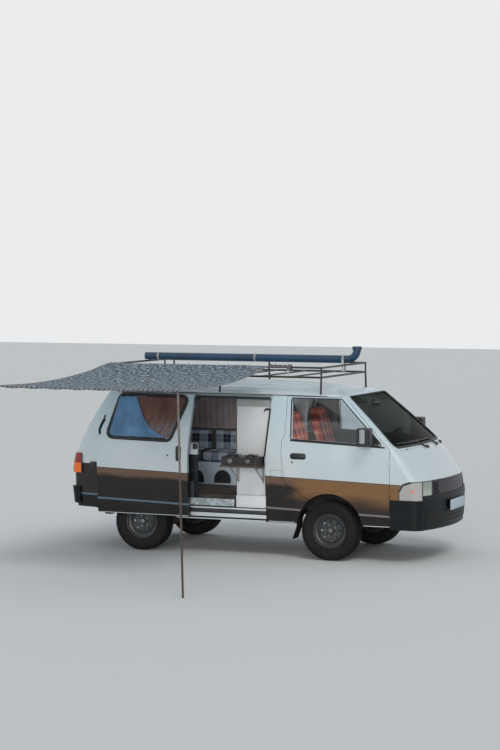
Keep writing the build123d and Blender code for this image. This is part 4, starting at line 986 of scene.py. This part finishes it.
# Dark sheets between the runners, under the tread and in the doorway's rear corner: painted shade.
box(doorway_shade_sheets, (-1.795, -0.740), (-0.776, -0.764), (0.462, 0.500), 0.003)
box(doorway_shade_sheets, (-1.795, -0.740), (-0.784, -0.764), (0.522, 0.531), 0.002)
box(doorway_shade_sheets, (-1.835, -1.602), (-0.7672, -0.7632), (0.560, 1.085), 0.0015)
piece(track, "upper_track", M["jamb"])
piece(latch, "doorway_latch", M["black"])
piece(tread, "step_tread", M["tread"])
piece(rails, "door_runners", M["pale"])
piece(doorway_shade_sheets, "doorway_painted_shade", M["jamb"])

# Cupboard front with its top band, posts, and dark arches on the bench's front, painted shade in its arched
# openings
front, band, post = bmesh.new(), bmesh.new(), bmesh.new()
box(front, (-1.112, -0.738), (-0.7055, -0.7003), (1.030, 1.632), 0.002)
box(front, (-1.094, -0.742), (-0.7745, -0.7685), (0.478, 0.662), 0.002)
box(front, (-1.094, -0.742), (-0.7690, -0.7005), (0.6465, 0.662), 0.002)
box(band, (-1.117, -0.733), (-0.7095, -0.7003), (1.640, 1.712), 0.004, 3)
box(band, (-1.117, -0.733), (-0.7130, -0.7003), (1.634, 1.643), 0.003, 2)
box(post, (-1.700, -1.662), (0.655, 0.692), (0.910, 1.720), 0.004, 2)
box(post, (-1.128, -1.1165), (-0.690, -0.655), (0.6465, 1.712), 0.003, 2)
piece(front, "cupboard_front", M["board"])
# The dark arches are thin slabs of painted shade on the bench front.
arches = bmesh.new()
ARCH_R, ARCH_Y, ARCH_Z = 0.106, 0.2965, 0.708
for at in (-1.380, -1.720, -2.060):
    outline = [(at - ARCH_R, ARCH_Y, 0.664), (at + ARCH_R, ARCH_Y, 0.664)]
    bow = [pi * k / 16 for k in range(17)]
    outline += [(at + ARCH_R * cos(t), ARCH_Y, ARCH_Z + ARCH_R * sin(t)) for t in bow]
    slab(arches, [Vector(p) for p in outline], Vector((0, 0.003, 0)))
piece(arches, "bench_arch_panels", M["jamb"])
piece(band, "cupboard_top_band", M["band"])
piece(post, "bench_posts", M["post"])

# Stove: pan rests and knobs
BURNER = [(0.0, 0.030), (0.010, 0.028), (0.014, 0.020), (0.014, TIP)]
KNOB = [(-0.002, 0.019), (0.006, 0.019), (0.008, 0.014), (0.022, 0.012), (0.024, TIP)]
KNOB_RING = [(-0.001, 0.026), (0.002, 0.026), (0.003, 0.020), (-0.001, 0.020), (-0.001, 0.026)]
rests, knobs = bmesh.new(), bmesh.new()
for bx in (-1.090, -0.880):
    lathe(rests, BURNER, (bx, -0.860, 1.1082), (0, 0, 1), 24)
    for k in range(4):
        way = Vector((cos(pi * k / 2 + 0.785), sin(pi * k / 2 + 0.785), 0))
        at = Vector((bx, -0.860, 1.113))
        rod(rests, at + way * 0.026, at + way * 0.088, 0.0032, None, 8)
        rod(rests, at + way * 0.088, at + way * 0.088 - Vector((0, 0, 0.018)), 0.0032, None, 8)
    for profile in (KNOB, KNOB_RING):
        lathe(knobs, profile, (bx, -0.962, 1.052), (0, -1, 0), 24)
piece(rests, "stove_pan_rests", M["cap"])
piece(knobs, "stove_knobs", M["nut"])

# Mirrors: a black shell in front, the glass behind and a pale grey patch on the outer end
MIRROR_END = 0.9848
MIRROR_PATCH = [(0.409, 1.290), (0.466, 1.290), (0.466, 1.438), (0.409, 1.438)]
for side, name in SIDES:
    shell, silver, cover = bmesh.new(), bmesh.new(), bmesh.new()
    y0, y1 = sorted((side * 0.862, side * 0.968))
    box(shell, (0.5045, 0.5125), (y0, y1), (1.275, 1.432), 0.004, 3)
    box(silver, (0.3700, 0.3755), (y0 + 0.004, y1 - 0.004), (1.272, 1.436), 0.002, 2)
    slab(cover, [Vector((p.x, side * MIRROR_END, p.y)) for p in rounded(MIRROR_PATCH, 0.014, 3)],
         Vector((0, side * 0.0030, 0)), 0.001)
    piece(cover, "mirror_pale_patch_" + name, M["mirror_face"], "door_" + name)
    piece(shell, "mirror_shell_" + name, M["black"], "door_" + name)
    piece(silver, "mirror_glass_" + name, M["chrome"], "door_" + name)

# Rear vents, tail lamp frames, belt crease and sill lips
VENT = [(-2.686, 0, 1.496), (-2.706, 0, 1.450), (-2.740, 0, 1.385), (-2.758, 0, 1.330), (-2.748, 0, 1.280)]
CREASE_Z, SILL_Z = 1.212, 0.395
vents, frames, crease, lips = bmesh.new(), bmesh.new(), bmesh.new(), bmesh.new()
for side in (-1, 1):
    points = skin_line(SIDE[side], dense(VENT, 0.02), (0, -side, 0), 0.001)
    bead(vents, points, 0.009, smooth_line=True)
    bead(vents, [p + Vector((0.012, 0, -0.012)) for p in points[2:-1]], 0.008, smooth_line=True)
    y = side * 0.8405
    bead(frames, [(-2.960, y, 0.850), (-2.958, y, 0.95), (-2.960, y, 1.030),
                  (-2.968, y - side * 0.004, 1.060)], 0.0075)
    bead(frames, [(-2.962, y - side * 0.002, 0.9555), (-3.030, y - side * 0.004, 0.9555)], 0.0022)
    for x0, x1 in ((-2.90, -2.62), (-0.66, -0.565)):
        line = dense([(x0, 0, CREASE_Z), (x1, 0, CREASE_Z)], 0.06)
        line = skin_line(SIDE[side], line, (0, -side, 0), -0.0015)
        bead(crease, line, 0.0035)
    for x0, x1 in ((-0.700, -0.34), (0.335, 0.68)):
        line = dense([(x0, 0, SILL_Z), (x1, 0, SILL_Z)], 0.06)
        line = skin_line(SIDE[side], line, (0, -side, 0), -0.001)
        bead(lips, line, 0.0045)
line = skin_line(SLIDER, dense([(-2.73, 0, CREASE_Z), (-1.83, 0, 1.196)], 0.06), (0, 1, 0), -0.0012)
bead(crease, line, 0.0032)
line = skin_line(SLIDER, dense([(-2.735, 0, 0.4165), (-1.630, 0, 0.4165)], 0.06), (0, 1, 0), -0.001)
bead(lips, line, 0.0042)
piece(vents, "pillar_vents", M["dark"])
piece(frames, "tail_lamp_frames", M["black"])
piece(crease, "belt_crease", M["pale"])
piece(lips, "sill_lips", M["pale"])

# Straps round the water pipe
strap = bmesh.new()
PIPE_Y, PIPE_Z, PIPE_OUT = 0.300, 2.1223, 0.0447
for at in (-0.238, -1.310, -2.530):
    hoop = [(at, PIPE_Y + PIPE_OUT * cos(t), PIPE_Z + PIPE_OUT * sin(t)) for t in turns(28)]
    for lag in (-0.009, -0.003, 0.003, 0.009):
        bead(strap, [(x + lag, y, z) for x, y, z in hoop], 0.0022, True)
box(strap, (-0.250, -0.226), (0.3420, 0.3450), (1.985, 2.122), 0.001)
box(strap, (-0.250, -0.226), (0.2550, 0.2580), (1.985, 2.122), 0.001)
box(strap, (-0.250, -0.226), (0.2550, 0.3450), (1.983, 1.986), 0.001)
piece(strap, "pipe_straps", M["strap"])

# Weather strips under the front doors' windows, and rubber knobs on the cowl
for side, name in SIDES:
    strip = bmesh.new()
    low = sorted(FRONT_WINDOW, key=lambda p: p[1])[:2]
    (x0, z0), (x1, z1) = sorted((p[0], p[1]) for p in low)
    line = dense([(x0 - 0.01, 0, z0 - 0.016), (x1 + 0.02, 0, z1 - 0.016)], 0.05)
    bead(strip, skin_line(DOOR[side], line, (0, -side, 0), -0.002), 0.0095)
    piece(strip, "door_weather_strip_" + name, M["rubber"], "door_" + name)
foot = bmesh.new()
for y in (-0.007, 0.378, 0.671):
    spot = onto(FRONT, Vector((0, y, 1.196)), (-1, 0, 0), 0)
    if spot is not None:
        lathe(foot, [(-0.004, 0.022), (0.010, 0.021), (0.020, 0.014), (0.023, TIP)], spot, (0.6, 0, 0.8), 24)
piece(foot, "cowl_knobs", M["cap"])

# The awning's twisted corner at the rack, with its wraps and strap
knot, tail = bmesh.new(), bmesh.new()
for lag in (0.0, pi):
    path = []
    for k in range(25):
        t = k / 24
        path.append((-0.730 + 0.235 * t, -0.714 + 0.010 * cos(14 * t + lag),
                     2.080 - 0.004 * t + 0.010 * sin(14 * t + lag)))
    bead(knot, path, 0.011)
for k in range(3):
    hoop = [(-0.508 + 0.013 * k, -0.700 + 0.030 * cos(t), 2.062 + 0.030 * sin(t)) for t in turns(24)]
    bead(knot, hoop, 0.010, True)
box(tail, (-0.512, -0.490), (-0.7330, -0.7285), (1.986, 2.070), 0.002)
piece(knot, "awning_knot", M["awning_end"])
piece(tail, "awning_strap", M["strap"])

# Cab: gear lever with its boot, handbrake, visors, inner mirror and the dashboard's vents
LEVER_KNOB = [(-0.02, 0.010), (-0.012, 0.020), (0.008, 0.023), (0.022, 0.016), (0.027, TIP)]
LEVER_BOOT = [(0.0, 0.062), (0.02, 0.052), (0.05, 0.026), (0.075, 0.012)]
cab, soft_cab = bmesh.new(), bmesh.new()
rod(cab, (0.180, 0.02, 0.880), (0.130, 0.02, 1.100), 0.009, 0.007, 14)
lathe(cab, LEVER_KNOB, (0.130, 0.02, 1.105), (-0.1, 0, 1), 24)
lathe(cab, LEVER_BOOT, (0.178, 0.02, 0.8805), (-0.22, 0, 1), 28)
rod(cab, (-0.330, 0.08, 0.895), (-0.080, 0.08, 0.985), 0.011, 0.012, 14)
for y in (-0.42, 0.42):
    lean = Matrix.Rotation(0.5, 4, "Y")
    box(soft_cab, (0.10, 0.225), (y - 0.19, y + 0.19), (1.700, 1.716), 0.006, 3, lean)
box(cab, (0.235, 0.262), (-0.115, 0.115), (1.618, 1.676), 0.010, 3)
rod(cab, (0.252, 0, 1.672), (0.222, 0, 1.722), 0.007, None, 12)
for y in (-0.56, -0.16, 0.10, 0.60):
    box(cab, (0.590, 0.606), (y - 0.06, y + 0.06), (1.085, 1.125), 0.004, 2, Matrix.Rotation(-0.78, 4, "Y"))
box(cab, (0.552, 0.5605), (-0.60, -0.22), (0.930, 1.050), 0.004, 2)
piece(cab, "cab_controls", M["cap"])
piece(soft_cab, "sun_visors", M["liner"])

# Floor covering in the load space and the cab
FLOOR_LAYER = (0.6455, 0.6495)
mat_bm = bmesh.new()
box(mat_bm, (-2.90, -1.130), (-0.725, 0.272), FLOOR_LAYER, 0.0015)
box(mat_bm, (-1.130, -0.570), (-0.270, 0.690), FLOOR_LAYER, 0.0015)
piece(mat_bm, "floor_covering", M["vinyl"])


# Soft goods

def sheet_mesh(columns, rows, wide, long, place):
    """A sheet of cloth. place turns shares of its width and length into a point in van metres."""
    bm = bmesh.new()
    bmesh.ops.create_grid(bm, x_segments=columns, y_segments=rows, size=0.5)
    flat_map = bm.loops.layers.uv.new("flat")
    for face in bm.faces:
        for loop in face.loops:
            loop[flat_map].uv = ((loop.vert.co.x + 0.5) * wide, (loop.vert.co.y + 0.5) * long)
    for v in bm.verts:
        v.co = Vector(place(v.co.x + 0.5, v.co.y + 0.5))
    bmesh.ops.solidify(bm, geom=bm.faces[:], thickness=0.0012)
    return bm


def ripple(u, folds, lag=0.0):
    """A fold line that isn't quite even."""
    swing = folds * u + 0.22 * sin(5.1 * u + lag) + lag
    return sin(2 * pi * swing) + 0.3 * sin(2 * pi * (folds * 2.3 * u + lag))


def print_material(name, ground, fleck, hem, dash, wide, long, edge):
    """A fleck print with a paler hem that has dark dashes, on the flat map of the sheet."""
    made, net, shader = start_material(name, Sheen_Weight=0.1, Specular_IOR_Level=0.3)
    flat = net.add("UVMap", out=0)
    u, v = net.split(flat)[:2]
    spots = net.noise(net.stretch(flat, (1.0, 0.45, 1.0)), 32.0, 3, 0.60)
    cells = net.add("TexVoronoi", {"Vector": net.stretch(flat, (1.0, 0.45, 1.0)), "Scale": 25.0})
    light = net.calc("MULTIPLY", net.step(spots, 0.515, 0.555), net.step(cells, 0.25, 0.5, 0.75, 1.0))
    colour = net.blend(light, ground, fleck)
    to_side = net.calc("MINIMUM", u, net.calc("SUBTRACT", wide, u))
    to_end = net.calc("MINIMUM", v, net.calc("SUBTRACT", long, v))
    near = net.calc("LESS_THAN", net.calc("MINIMUM", to_side, to_end), edge)
    wave = net.calc("SINE", net.calc("MULTIPLY", net.calc("ADD", u, v), 118.0))
    pulse = net.calc("GREATER_THAN", wave, 0.45)
    border = net.blend(pulse, hem, dash)
    colour = net.blend(near, colour, border)
    weave = net.use(WEAVE, U=u, V=v, Threads=600.0)
    return finish_material(made, net, shader, by_weave(net, colour, weave), 0.75, weave["Height"], 0.0006)


AWNING_REAR, AWNING_FRONT = -2.676, -0.524
AWNING_IN, AWNING_OUT = (-0.716, 2.0822), (-3.494, 1.9725)     # y and z of the two long edges
AWNING_SAG = 0.07
AWNING_WIDE, AWNING_LONG = 2.15, 2.80


def awning_place(u, v):
    """The sagging sheet, drawn in towards its tied corner at the rack and between its poles."""
    front = AWNING_FRONT - 0.20 * (1 - v) ** 2 - 0.035 * sin(pi * v)
    rear = AWNING_REAR + 0.045 * sin(pi * v)
    x = rear + (front - rear) * u
    y = AWNING_IN[0] + (AWNING_OUT[0] - AWNING_IN[0]) * v + 0.03 * sin(pi * u) * v ** 6
    z = AWNING_IN[1] + (AWNING_OUT[1] - AWNING_IN[1]) * v - 4 * AWNING_SAG * v * (1 - v)
    pull = sum(EULER ** (-((u - cu) ** 2 + (v - cv) ** 2) / 0.03) * sin(26 * (u - cu + 0.8 * (v - cv)))
               for cu, cv in ((0, 0), (1, 0), (0, 1), (1, 1)))
    z += 0.006 * pull + 0.004 * sin(9 * u) * sin(pi * v) - 0.010 * sin(pi * u) * v ** 8
    return x, y, z


cloth_bm = sheet_mesh(72, 90, AWNING_WIDE, AWNING_LONG, awning_place)
M["awning"] = print_material("awning_print", (0.006, 0.015, 0.024), (0.27, 0.40, 0.50), (0.20, 0.20, 0.21),
                             (0.05, 0.055, 0.065), AWNING_WIDE, AWNING_LONG, 0.035)
awning = piece(cloth_bm, "awning_sheet", M["awning"], replaces=["awning"], smooth=60)
EYELET = [(-0.0030, 0.008), (-0.0030, 0.014), (0.0042, 0.014), (0.0042, 0.008), (-0.0030, 0.008)]
EYELET_ENDS = (0.0075, 0.9925)
eyelets, loops = bmesh.new(), bmesh.new()
for k in range(5):
    share = 0.012 + 0.976 * k / 4
    for v in EYELET_ENDS:
        lathe(eyelets, EYELET, Vector(awning_place(share, v)), (0, 0, 1), 20)
    spot = Vector(awning_place(share, EYELET_ENDS[0]))
    ring = [(spot.x, -0.7115 + 0.0165 * cos(t), 2.0740 + 0.0195 * sin(t)) for t in turns(14)]
    bead(loops, ring, 0.0028, True)
eyelet_piece = piece(eyelets, "awning_eyelets", M["chrome"])
piece(loops, "awning_ties", M["strap"])
HEM_DROP = 0.017


def hem_place(u, v):
    """The hem that hangs down along the outer edge."""
    x, y, z = awning_place(u, 1.0)
    return x, y - 0.004 - 0.004 * sin(40 * u) * v, z - HEM_DROP * v - 0.003 * sin(55 * u) * v


M["hem"] = print_material("awning_hem", (0.15, 0.15, 0.16), (0.20, 0.20, 0.21), (0.22, 0.22, 0.235),
                          (0.04, 0.045, 0.055), AWNING_WIDE, HEM_DROP, 0.05)
hem_bm = sheet_mesh(72, 2, AWNING_WIDE, HEM_DROP, hem_place)
hem = piece(hem_bm, "awning_hem", M["hem"], smooth=60)


def curtain(name, top, bottom, out, folds, depth, mat, pinch=None, lag=0.0, columns=90, rows=22):
    """A gathered curtain between a top and a bottom line, with folds along the direction out."""
    top, bottom, out = [Vector(p) for p in top], [Vector(p) for p in bottom], Vector(out)

    def place(u, v):
        a, b = top[0].lerp(top[1], u), bottom[0].lerp(bottom[1], u)
        spot = a.lerp(b, v)
        if pinch:
            at, middle, narrow = pinch
            near = EULER ** (-((v - at) / 0.23) ** 2)
            share = 1 - (1 - narrow) * near
            spot = Vector(middle).lerp(spot, share) if share < 1 else spot
            spot.z = a.lerp(b, v).z
        return spot + out * depth * ripple(u, folds, lag) * (0.62 + 0.38 * v)

    height = (top[0] - bottom[0]).length
    line = [Vector(place(k / 300, 0.5 if not pinch else 0.0)) for k in range(301)]
    wide = sum((b - a).length for a, b in zip(line, line[1:]))
    hung = sheet_mesh(columns, rows, wide, height, place)
    made = piece(hung, name, mat, replaces=["curtains"], smooth=60)


CURTAINS = (("left", "mid", -1.650, -0.720, 10, 1.268, 0.714),
            ("left", "rear", -2.520, -1.712, 10, 1.268, 0.714),
            ("right", "rear", -2.520, -1.905, 8, 1.232, 0.722))
rods = bmesh.new()
for name, part, x0, x1, folds, low, low_out in CURTAINS:
    side = 1 if name == "left" else -1
    y_top, y_low = side * 0.672, side * low_out
    ends = ((x0, y_top, 1.694), (x1, y_top, 1.694)), ((x0, y_low, low), (x1, y_low, low))
    curtain("curtain_%s_%s" % (name, part), ends[0], ends[1], (0, 1, 0), folds, 0.011, M["curtain"],
            lag=x0)
    rod(rods, (x0 - 0.01, y_top, 1.700), (x1 + 0.01, y_top, 1.700), 0.004)
piece(rods, "curtain_wires", M["chrome"])
DIVIDER_X = -0.680
curtain("curtain_divider", ((DIVIDER_X, -0.14, 1.688), (DIVIDER_X, 0.475, 1.688)),
        ((DIVIDER_X, 0.16, 1.105), (DIVIDER_X, 0.335, 1.105)), (1, 0, 0), 11, 0.016, M["voile"],
        pinch=(0.53, (DIVIDER_X, 0.245, 1.389), 0.10), lag=0.3, columns=120, rows=40)
band = bmesh.new()
tie = [(DIVIDER_X + 0.030 * cos(t), 0.245 + 0.036 * sin(t), 1.385 + 0.006 * sin(3 * t)) for t in turns(20)]
bead(band, tie, 0.006, True)
hooks = bmesh.new()
for k in range(9):
    y = -0.13 + 0.074 * k
    ring = [(DIVIDER_X + 0.0125 * cos(t), y, 1.705 + 0.0125 * sin(t)) for t in turns(12)]
    bead(hooks, ring, 0.0016, True)
piece(band, "curtain_tie", M["voile"])
piece(hooks, "curtain_rings", M["chrome"])

# The curtain that hangs within the thickness of the sliding door, behind its pane, as two cloths: a brown
# one across the whole window that is the curtain in the painted shadow of the awning, and a blue-grey one
# over the part before the shadow's slanting edge, whose blue is a painted sky reflection
SLID_TOP = (Vector((-2.470, -0.846, 1.716)), Vector((-1.662, -0.846, 1.716)))
SLID_LOW = (Vector((-2.612, -0.872, 1.276)), Vector((-1.880, -0.872, 1.276)))


def slid_place(y_top, reach, folds, lag):
    """A cloth within the door's window, whose front edge stands at reach(v) of the width."""
    def place(u, v):
        share = u * reach(v)
        spot = SLID_TOP[0].lerp(SLID_TOP[1], share).lerp(SLID_LOW[0].lerp(SLID_LOW[1], share), v)
        spot.y = y_top - 0.025 * v + 0.0035 * ripple(u, folds, lag) * (0.6 + 0.4 * v)
        return spot
    return place


# The first cloth is the curtain in painted shadow; the second, with its slanting front edge, is the lit part
# with a painted sky reflection.
SLID_CLOTHS = (
    ("curtain_sliding_door_brown", M["slid_curtain_painted_shadow"], -0.829, lambda v: 1.0, 9, 0.86),
    ("curtain_sliding_door_pale", M["slid_curtain_painted_sky"], -0.843,
     lambda v: 0.25 + 0.42 * v + 0.28 * v ** 5, 12, 0.56),
)
for cloth_name, mat, y_top, reach, folds, wide in SLID_CLOTHS:
    hung = piece(sheet_mesh(96, 16, wide, 0.44, slid_place(y_top, reach, folds, 0.4)), cloth_name, mat,
                 smooth=60)


# Padded pieces: closed forms that pressure swells, each point held to a short way
def soft_form(name, bm, voxel):
    mesh = bpy.data.meshes.new(name)
    bmesh.ops.recalc_face_normals(bm, faces=bm.faces)
    bm.to_mesh(mesh)
    bm.free()
    rough = bpy.data.objects.new(name, mesh)
    bpy.context.collection.objects.link(rough)
    remesh = rough.modifiers.new("remesh", "REMESH")
    remesh.mode = "VOXEL"
    remesh.voxel_size = voxel
    even = bpy.data.meshes.new_from_object(rough.evaluated_get(bpy.context.evaluated_depsgraph_get()))
    rough.modifiers.clear()
    rough.data = even
    bpy.data.meshes.remove(mesh)
    return rough


def swell_all(forms, cap):
    """Runs one short pressure simulation for every form, and gives back their meshes as bmeshes."""
    starts = {form: [v.co.copy() for v in form.data.vertices] for form in forms}
    for form in forms:
        stuffing = form.modifiers.new("stuffing", "CLOTH")
        stuffing.settings.use_pressure = True
        stuffing.settings.uniform_pressure_force = 4
        stuffing.settings.effector_weights.gravity = 0
        stuffing.point_cache.frame_start = 1
        stuffing.point_cache.frame_end = SOFT_STEPS
    for step in range(1, SOFT_STEPS + 1):
        bpy.context.scene.frame_set(step)
    swollen = {}
    for form in forms:
        mesh = bpy.data.meshes.new_from_object(form.evaluated_get(bpy.context.evaluated_depsgraph_get()))
        for v, start in zip(mesh.vertices, starts[form]):
            way = v.co - start
            if way.length > cap:
                v.co = start + way * (cap / way.length)
        bm = bmesh.new()
        bm.from_mesh(mesh)
        bmesh.ops.smooth_vert(bm, verts=bm.verts, factor=0.5,
                              use_axis_x=True, use_axis_y=True, use_axis_z=True)
        swollen[form.name] = bm
        bpy.data.objects.remove(form)
    bpy.context.scene.frame_set(1)
    return swollen


SEAT_Y = {"right": -0.400, "left": 0.400}
BENCH_PADS = {"front": (-1.162, -1.996), "rear": (-2.004, -2.838)}
TUCK = 0.012                           # how far a form starts inside its final size
PAD_LOW = 0.907 + TUCK * 0.5


def seat_form(y):
    bm = bmesh.new()
    box(bm, (-0.490, -0.055), (y - 0.236, y + 0.236), (0.894, 1.006), 0.036, 4)
    wide = [(-0.224, 0.0), (-0.224, 0.36), (-0.150, 0.622), (0.150, 0.622), (0.224, 0.36), (0.224, 0.0)]
    back = [Vector((-0.385 - 0.272 * p.y, y + p.x, 0.965 + p.y)) for p in rounded(wide, 0.085, 5)]
    slab(bm, back, Vector((-0.092, 0, -0.014)), 0.022)
    return bm


forms = []
for side_name, y in SEAT_Y.items():
    forms.append(soft_form("seat_cover_" + side_name, seat_form(y), 0.010))
for end_name, (x1, x0) in BENCH_PADS.items():
    pad = bmesh.new()
    box(pad, (x0 + TUCK, x1 - TUCK), (0.260 + TUCK, 0.640 - TUCK), (PAD_LOW, 1.035 - TUCK), 0.030, 4)
    forms.append(soft_form("bench_pad_" + end_name, pad, 0.011))
    pad = bmesh.new()
    thin = (0.645 + TUCK * 0.8, 0.728 - TUCK * 0.8)
    box(pad, (x0 + TUCK, x1 - TUCK), thin, (PAD_LOW, 1.262 - TUCK), 0.024, 4)
    forms.append(soft_form("bench_back_" + end_name, pad, 0.011))
swollen = swell_all(forms, 0.011)
TARTAN = ((0.52, 0.078, 0.046), (0.12, 0.022, 0.020), (0.66, 0.40, 0.27), (0.02, 0.018, 0.02))
WELT_OUT = 0.165
for side_name, y in SEAT_Y.items():
    key = "seat_cover_" + side_name
    tartan = checked_cloth("seat_tartan_" + side_name, 1, 2, 0.115, TARTAN)
    cover = piece(swollen[key], key, tartan, replaces=["seat_" + side_name], smooth=60)
    tree_bm = bmesh.new()
    tree_bm.from_mesh(cover.data)
    cover_skin = BVHTree.FromBMesh(tree_bm)
    tree_bm.free()
    lines = [([(0, y + s * WELT_OUT, 1.02 + 0.02 * k) for k in range(24)], (-1, 0, 0)) for s in (-1, 1)]
    lines += [([(-0.07 - 0.018 * k, y + s * WELT_OUT, 0) for k in range(18)], (0, 0, -1)) for s in (-1, 1)]
    lines.append(([(0, y - WELT_OUT + 0.033 * k, 1.40) for k in range(11)], (-1, 0, 0)))
    welts = bmesh.new()
    for line, way in lines:
        bead(welts, skin_line(cover_skin, line, way, -0.0005), 0.003)
    piece(welts, "seat_piping_" + side_name, M["rubber"])
plaid_tones = ((0.36, 0.42, 0.50), (0.012, 0.016, 0.024), (0.30, 0.34, 0.40), (0.16, 0.18, 0.22))
plaid_flat = checked_cloth("bench_plaid_seat", 0, 1, 0.20, plaid_tones)
plaid_back = checked_cloth("bench_plaid_back", 0, 2, 0.20, plaid_tones)
for end_name in BENCH_PADS:
    for kind, mat in (("pad", plaid_flat), ("back", plaid_back)):
        key = "bench_%s_%s" % (kind, end_name)
        cushion = piece(swollen[key], key, mat, replaces=["bench_cushions"], smooth=60)
piping = bmesh.new()
PIPING_IN = 0.012
for x1, x0 in BENCH_PADS.values():
    xs, ys = (x0 + PIPING_IN, x1 - PIPING_IN), (0.262 + PIPING_IN, 0.638 - PIPING_IN)
    loop = rounded([(xs[0], ys[0]), (xs[1], ys[0]), (xs[1], ys[1]), (xs[0], ys[1])], 0.03)
    for z in (1.029, 0.919):
        bead(piping, [(p.x, p.y, z) for p in loop], 0.004, True)
piece(piping, "bench_piping", M["rubber"])


# Stage and lamps

def flat_stage_material(name, tone):
    """One plain, dull tone."""
    made, net, shader = start_material(name, Roughness=0.9, Specular_IOR_Level=0.1)
    net.put(shader.inputs["Base Color"], tone)
    return made


bm = bmesh.new()
bmesh.ops.create_grid(bm, x_segments=1, y_segments=1, size=60)
floor_mesh = bpy.data.meshes.new("floor")
bm.to_mesh(floor_mesh)
bm.free()
floor = bpy.data.objects.new("floor", floor_mesh)
floor_mesh.materials.append(flat_stage_material("floor_grey", (0.80, 0.80, 0.79)))
bpy.context.collection.objects.link(floor)
floor.location = (0, 0, -0.001)
floor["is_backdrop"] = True

world = bpy.data.worlds.new("studio")
world.use_nodes = True
bpy.context.scene.world = world
sky = Net(world.node_tree)
path = sky.add("LightPath", out=None)
seen = sky.calc("MAXIMUM", path.outputs["Is Camera Ray"],
                sky.calc("MAXIMUM", path.outputs["Is Glossy Ray"], path.outputs["Is Transmission Ray"]))
shade = sky.add("Background", {0: (0.78, 0.87, 0.95), 1: 0.50})
seen_shade = sky.add("Background", {0: (0.90, 0.91, 0.92), 1: 0.92})
mixed = sky.add("MixShader", {0: seen, 1: shade, 2: seen_shade})
sky.put(world.node_tree.nodes["World Output"].inputs[0], mixed)


def add_lamp(name, kind, power, turn, tone):
    lamp = bpy.data.lights.new(name, kind)
    lamp.energy = power
    lamp.color = tone
    made = bpy.data.objects.new(name, lamp)
    made.rotation_euler = tuple(radians(a) for a in turn)
    bpy.context.collection.objects.link(made)
    return made


def sun(name, strength, angle, turn, tone):
    add_lamp(name, "SUN", strength, turn, tone).data.angle = radians(angle)


def inner_lamp(name, power, size, spot, turn, tone):
    """A soft lamp inside the van for the light that bounces about in it."""
    made = add_lamp(name, "AREA", power, turn, tone)
    made.data.size = size
    made.location = Vector(spot) + AXLE
    made.visible_camera = made.visible_glossy = made.visible_transmission = False


sun("key", 0.75, 22, (42, 0, 40), (1.0, 0.97, 0.92))
sun("low_fill", 1.12, 24, (82, 0, 12), (1.0, 0.975, 0.95))
inner_lamp("load_space_light", 1.6, 0.5, (-1.60, -0.45, 1.60), (62, 0, 15), (0.86, 0.94, 1.0))
inner_lamp("cab_light", 2.6, 0.4, (0.12, -0.45, 1.60), (55, 0, 62), (1.0, 0.95, 0.9))

low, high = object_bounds()
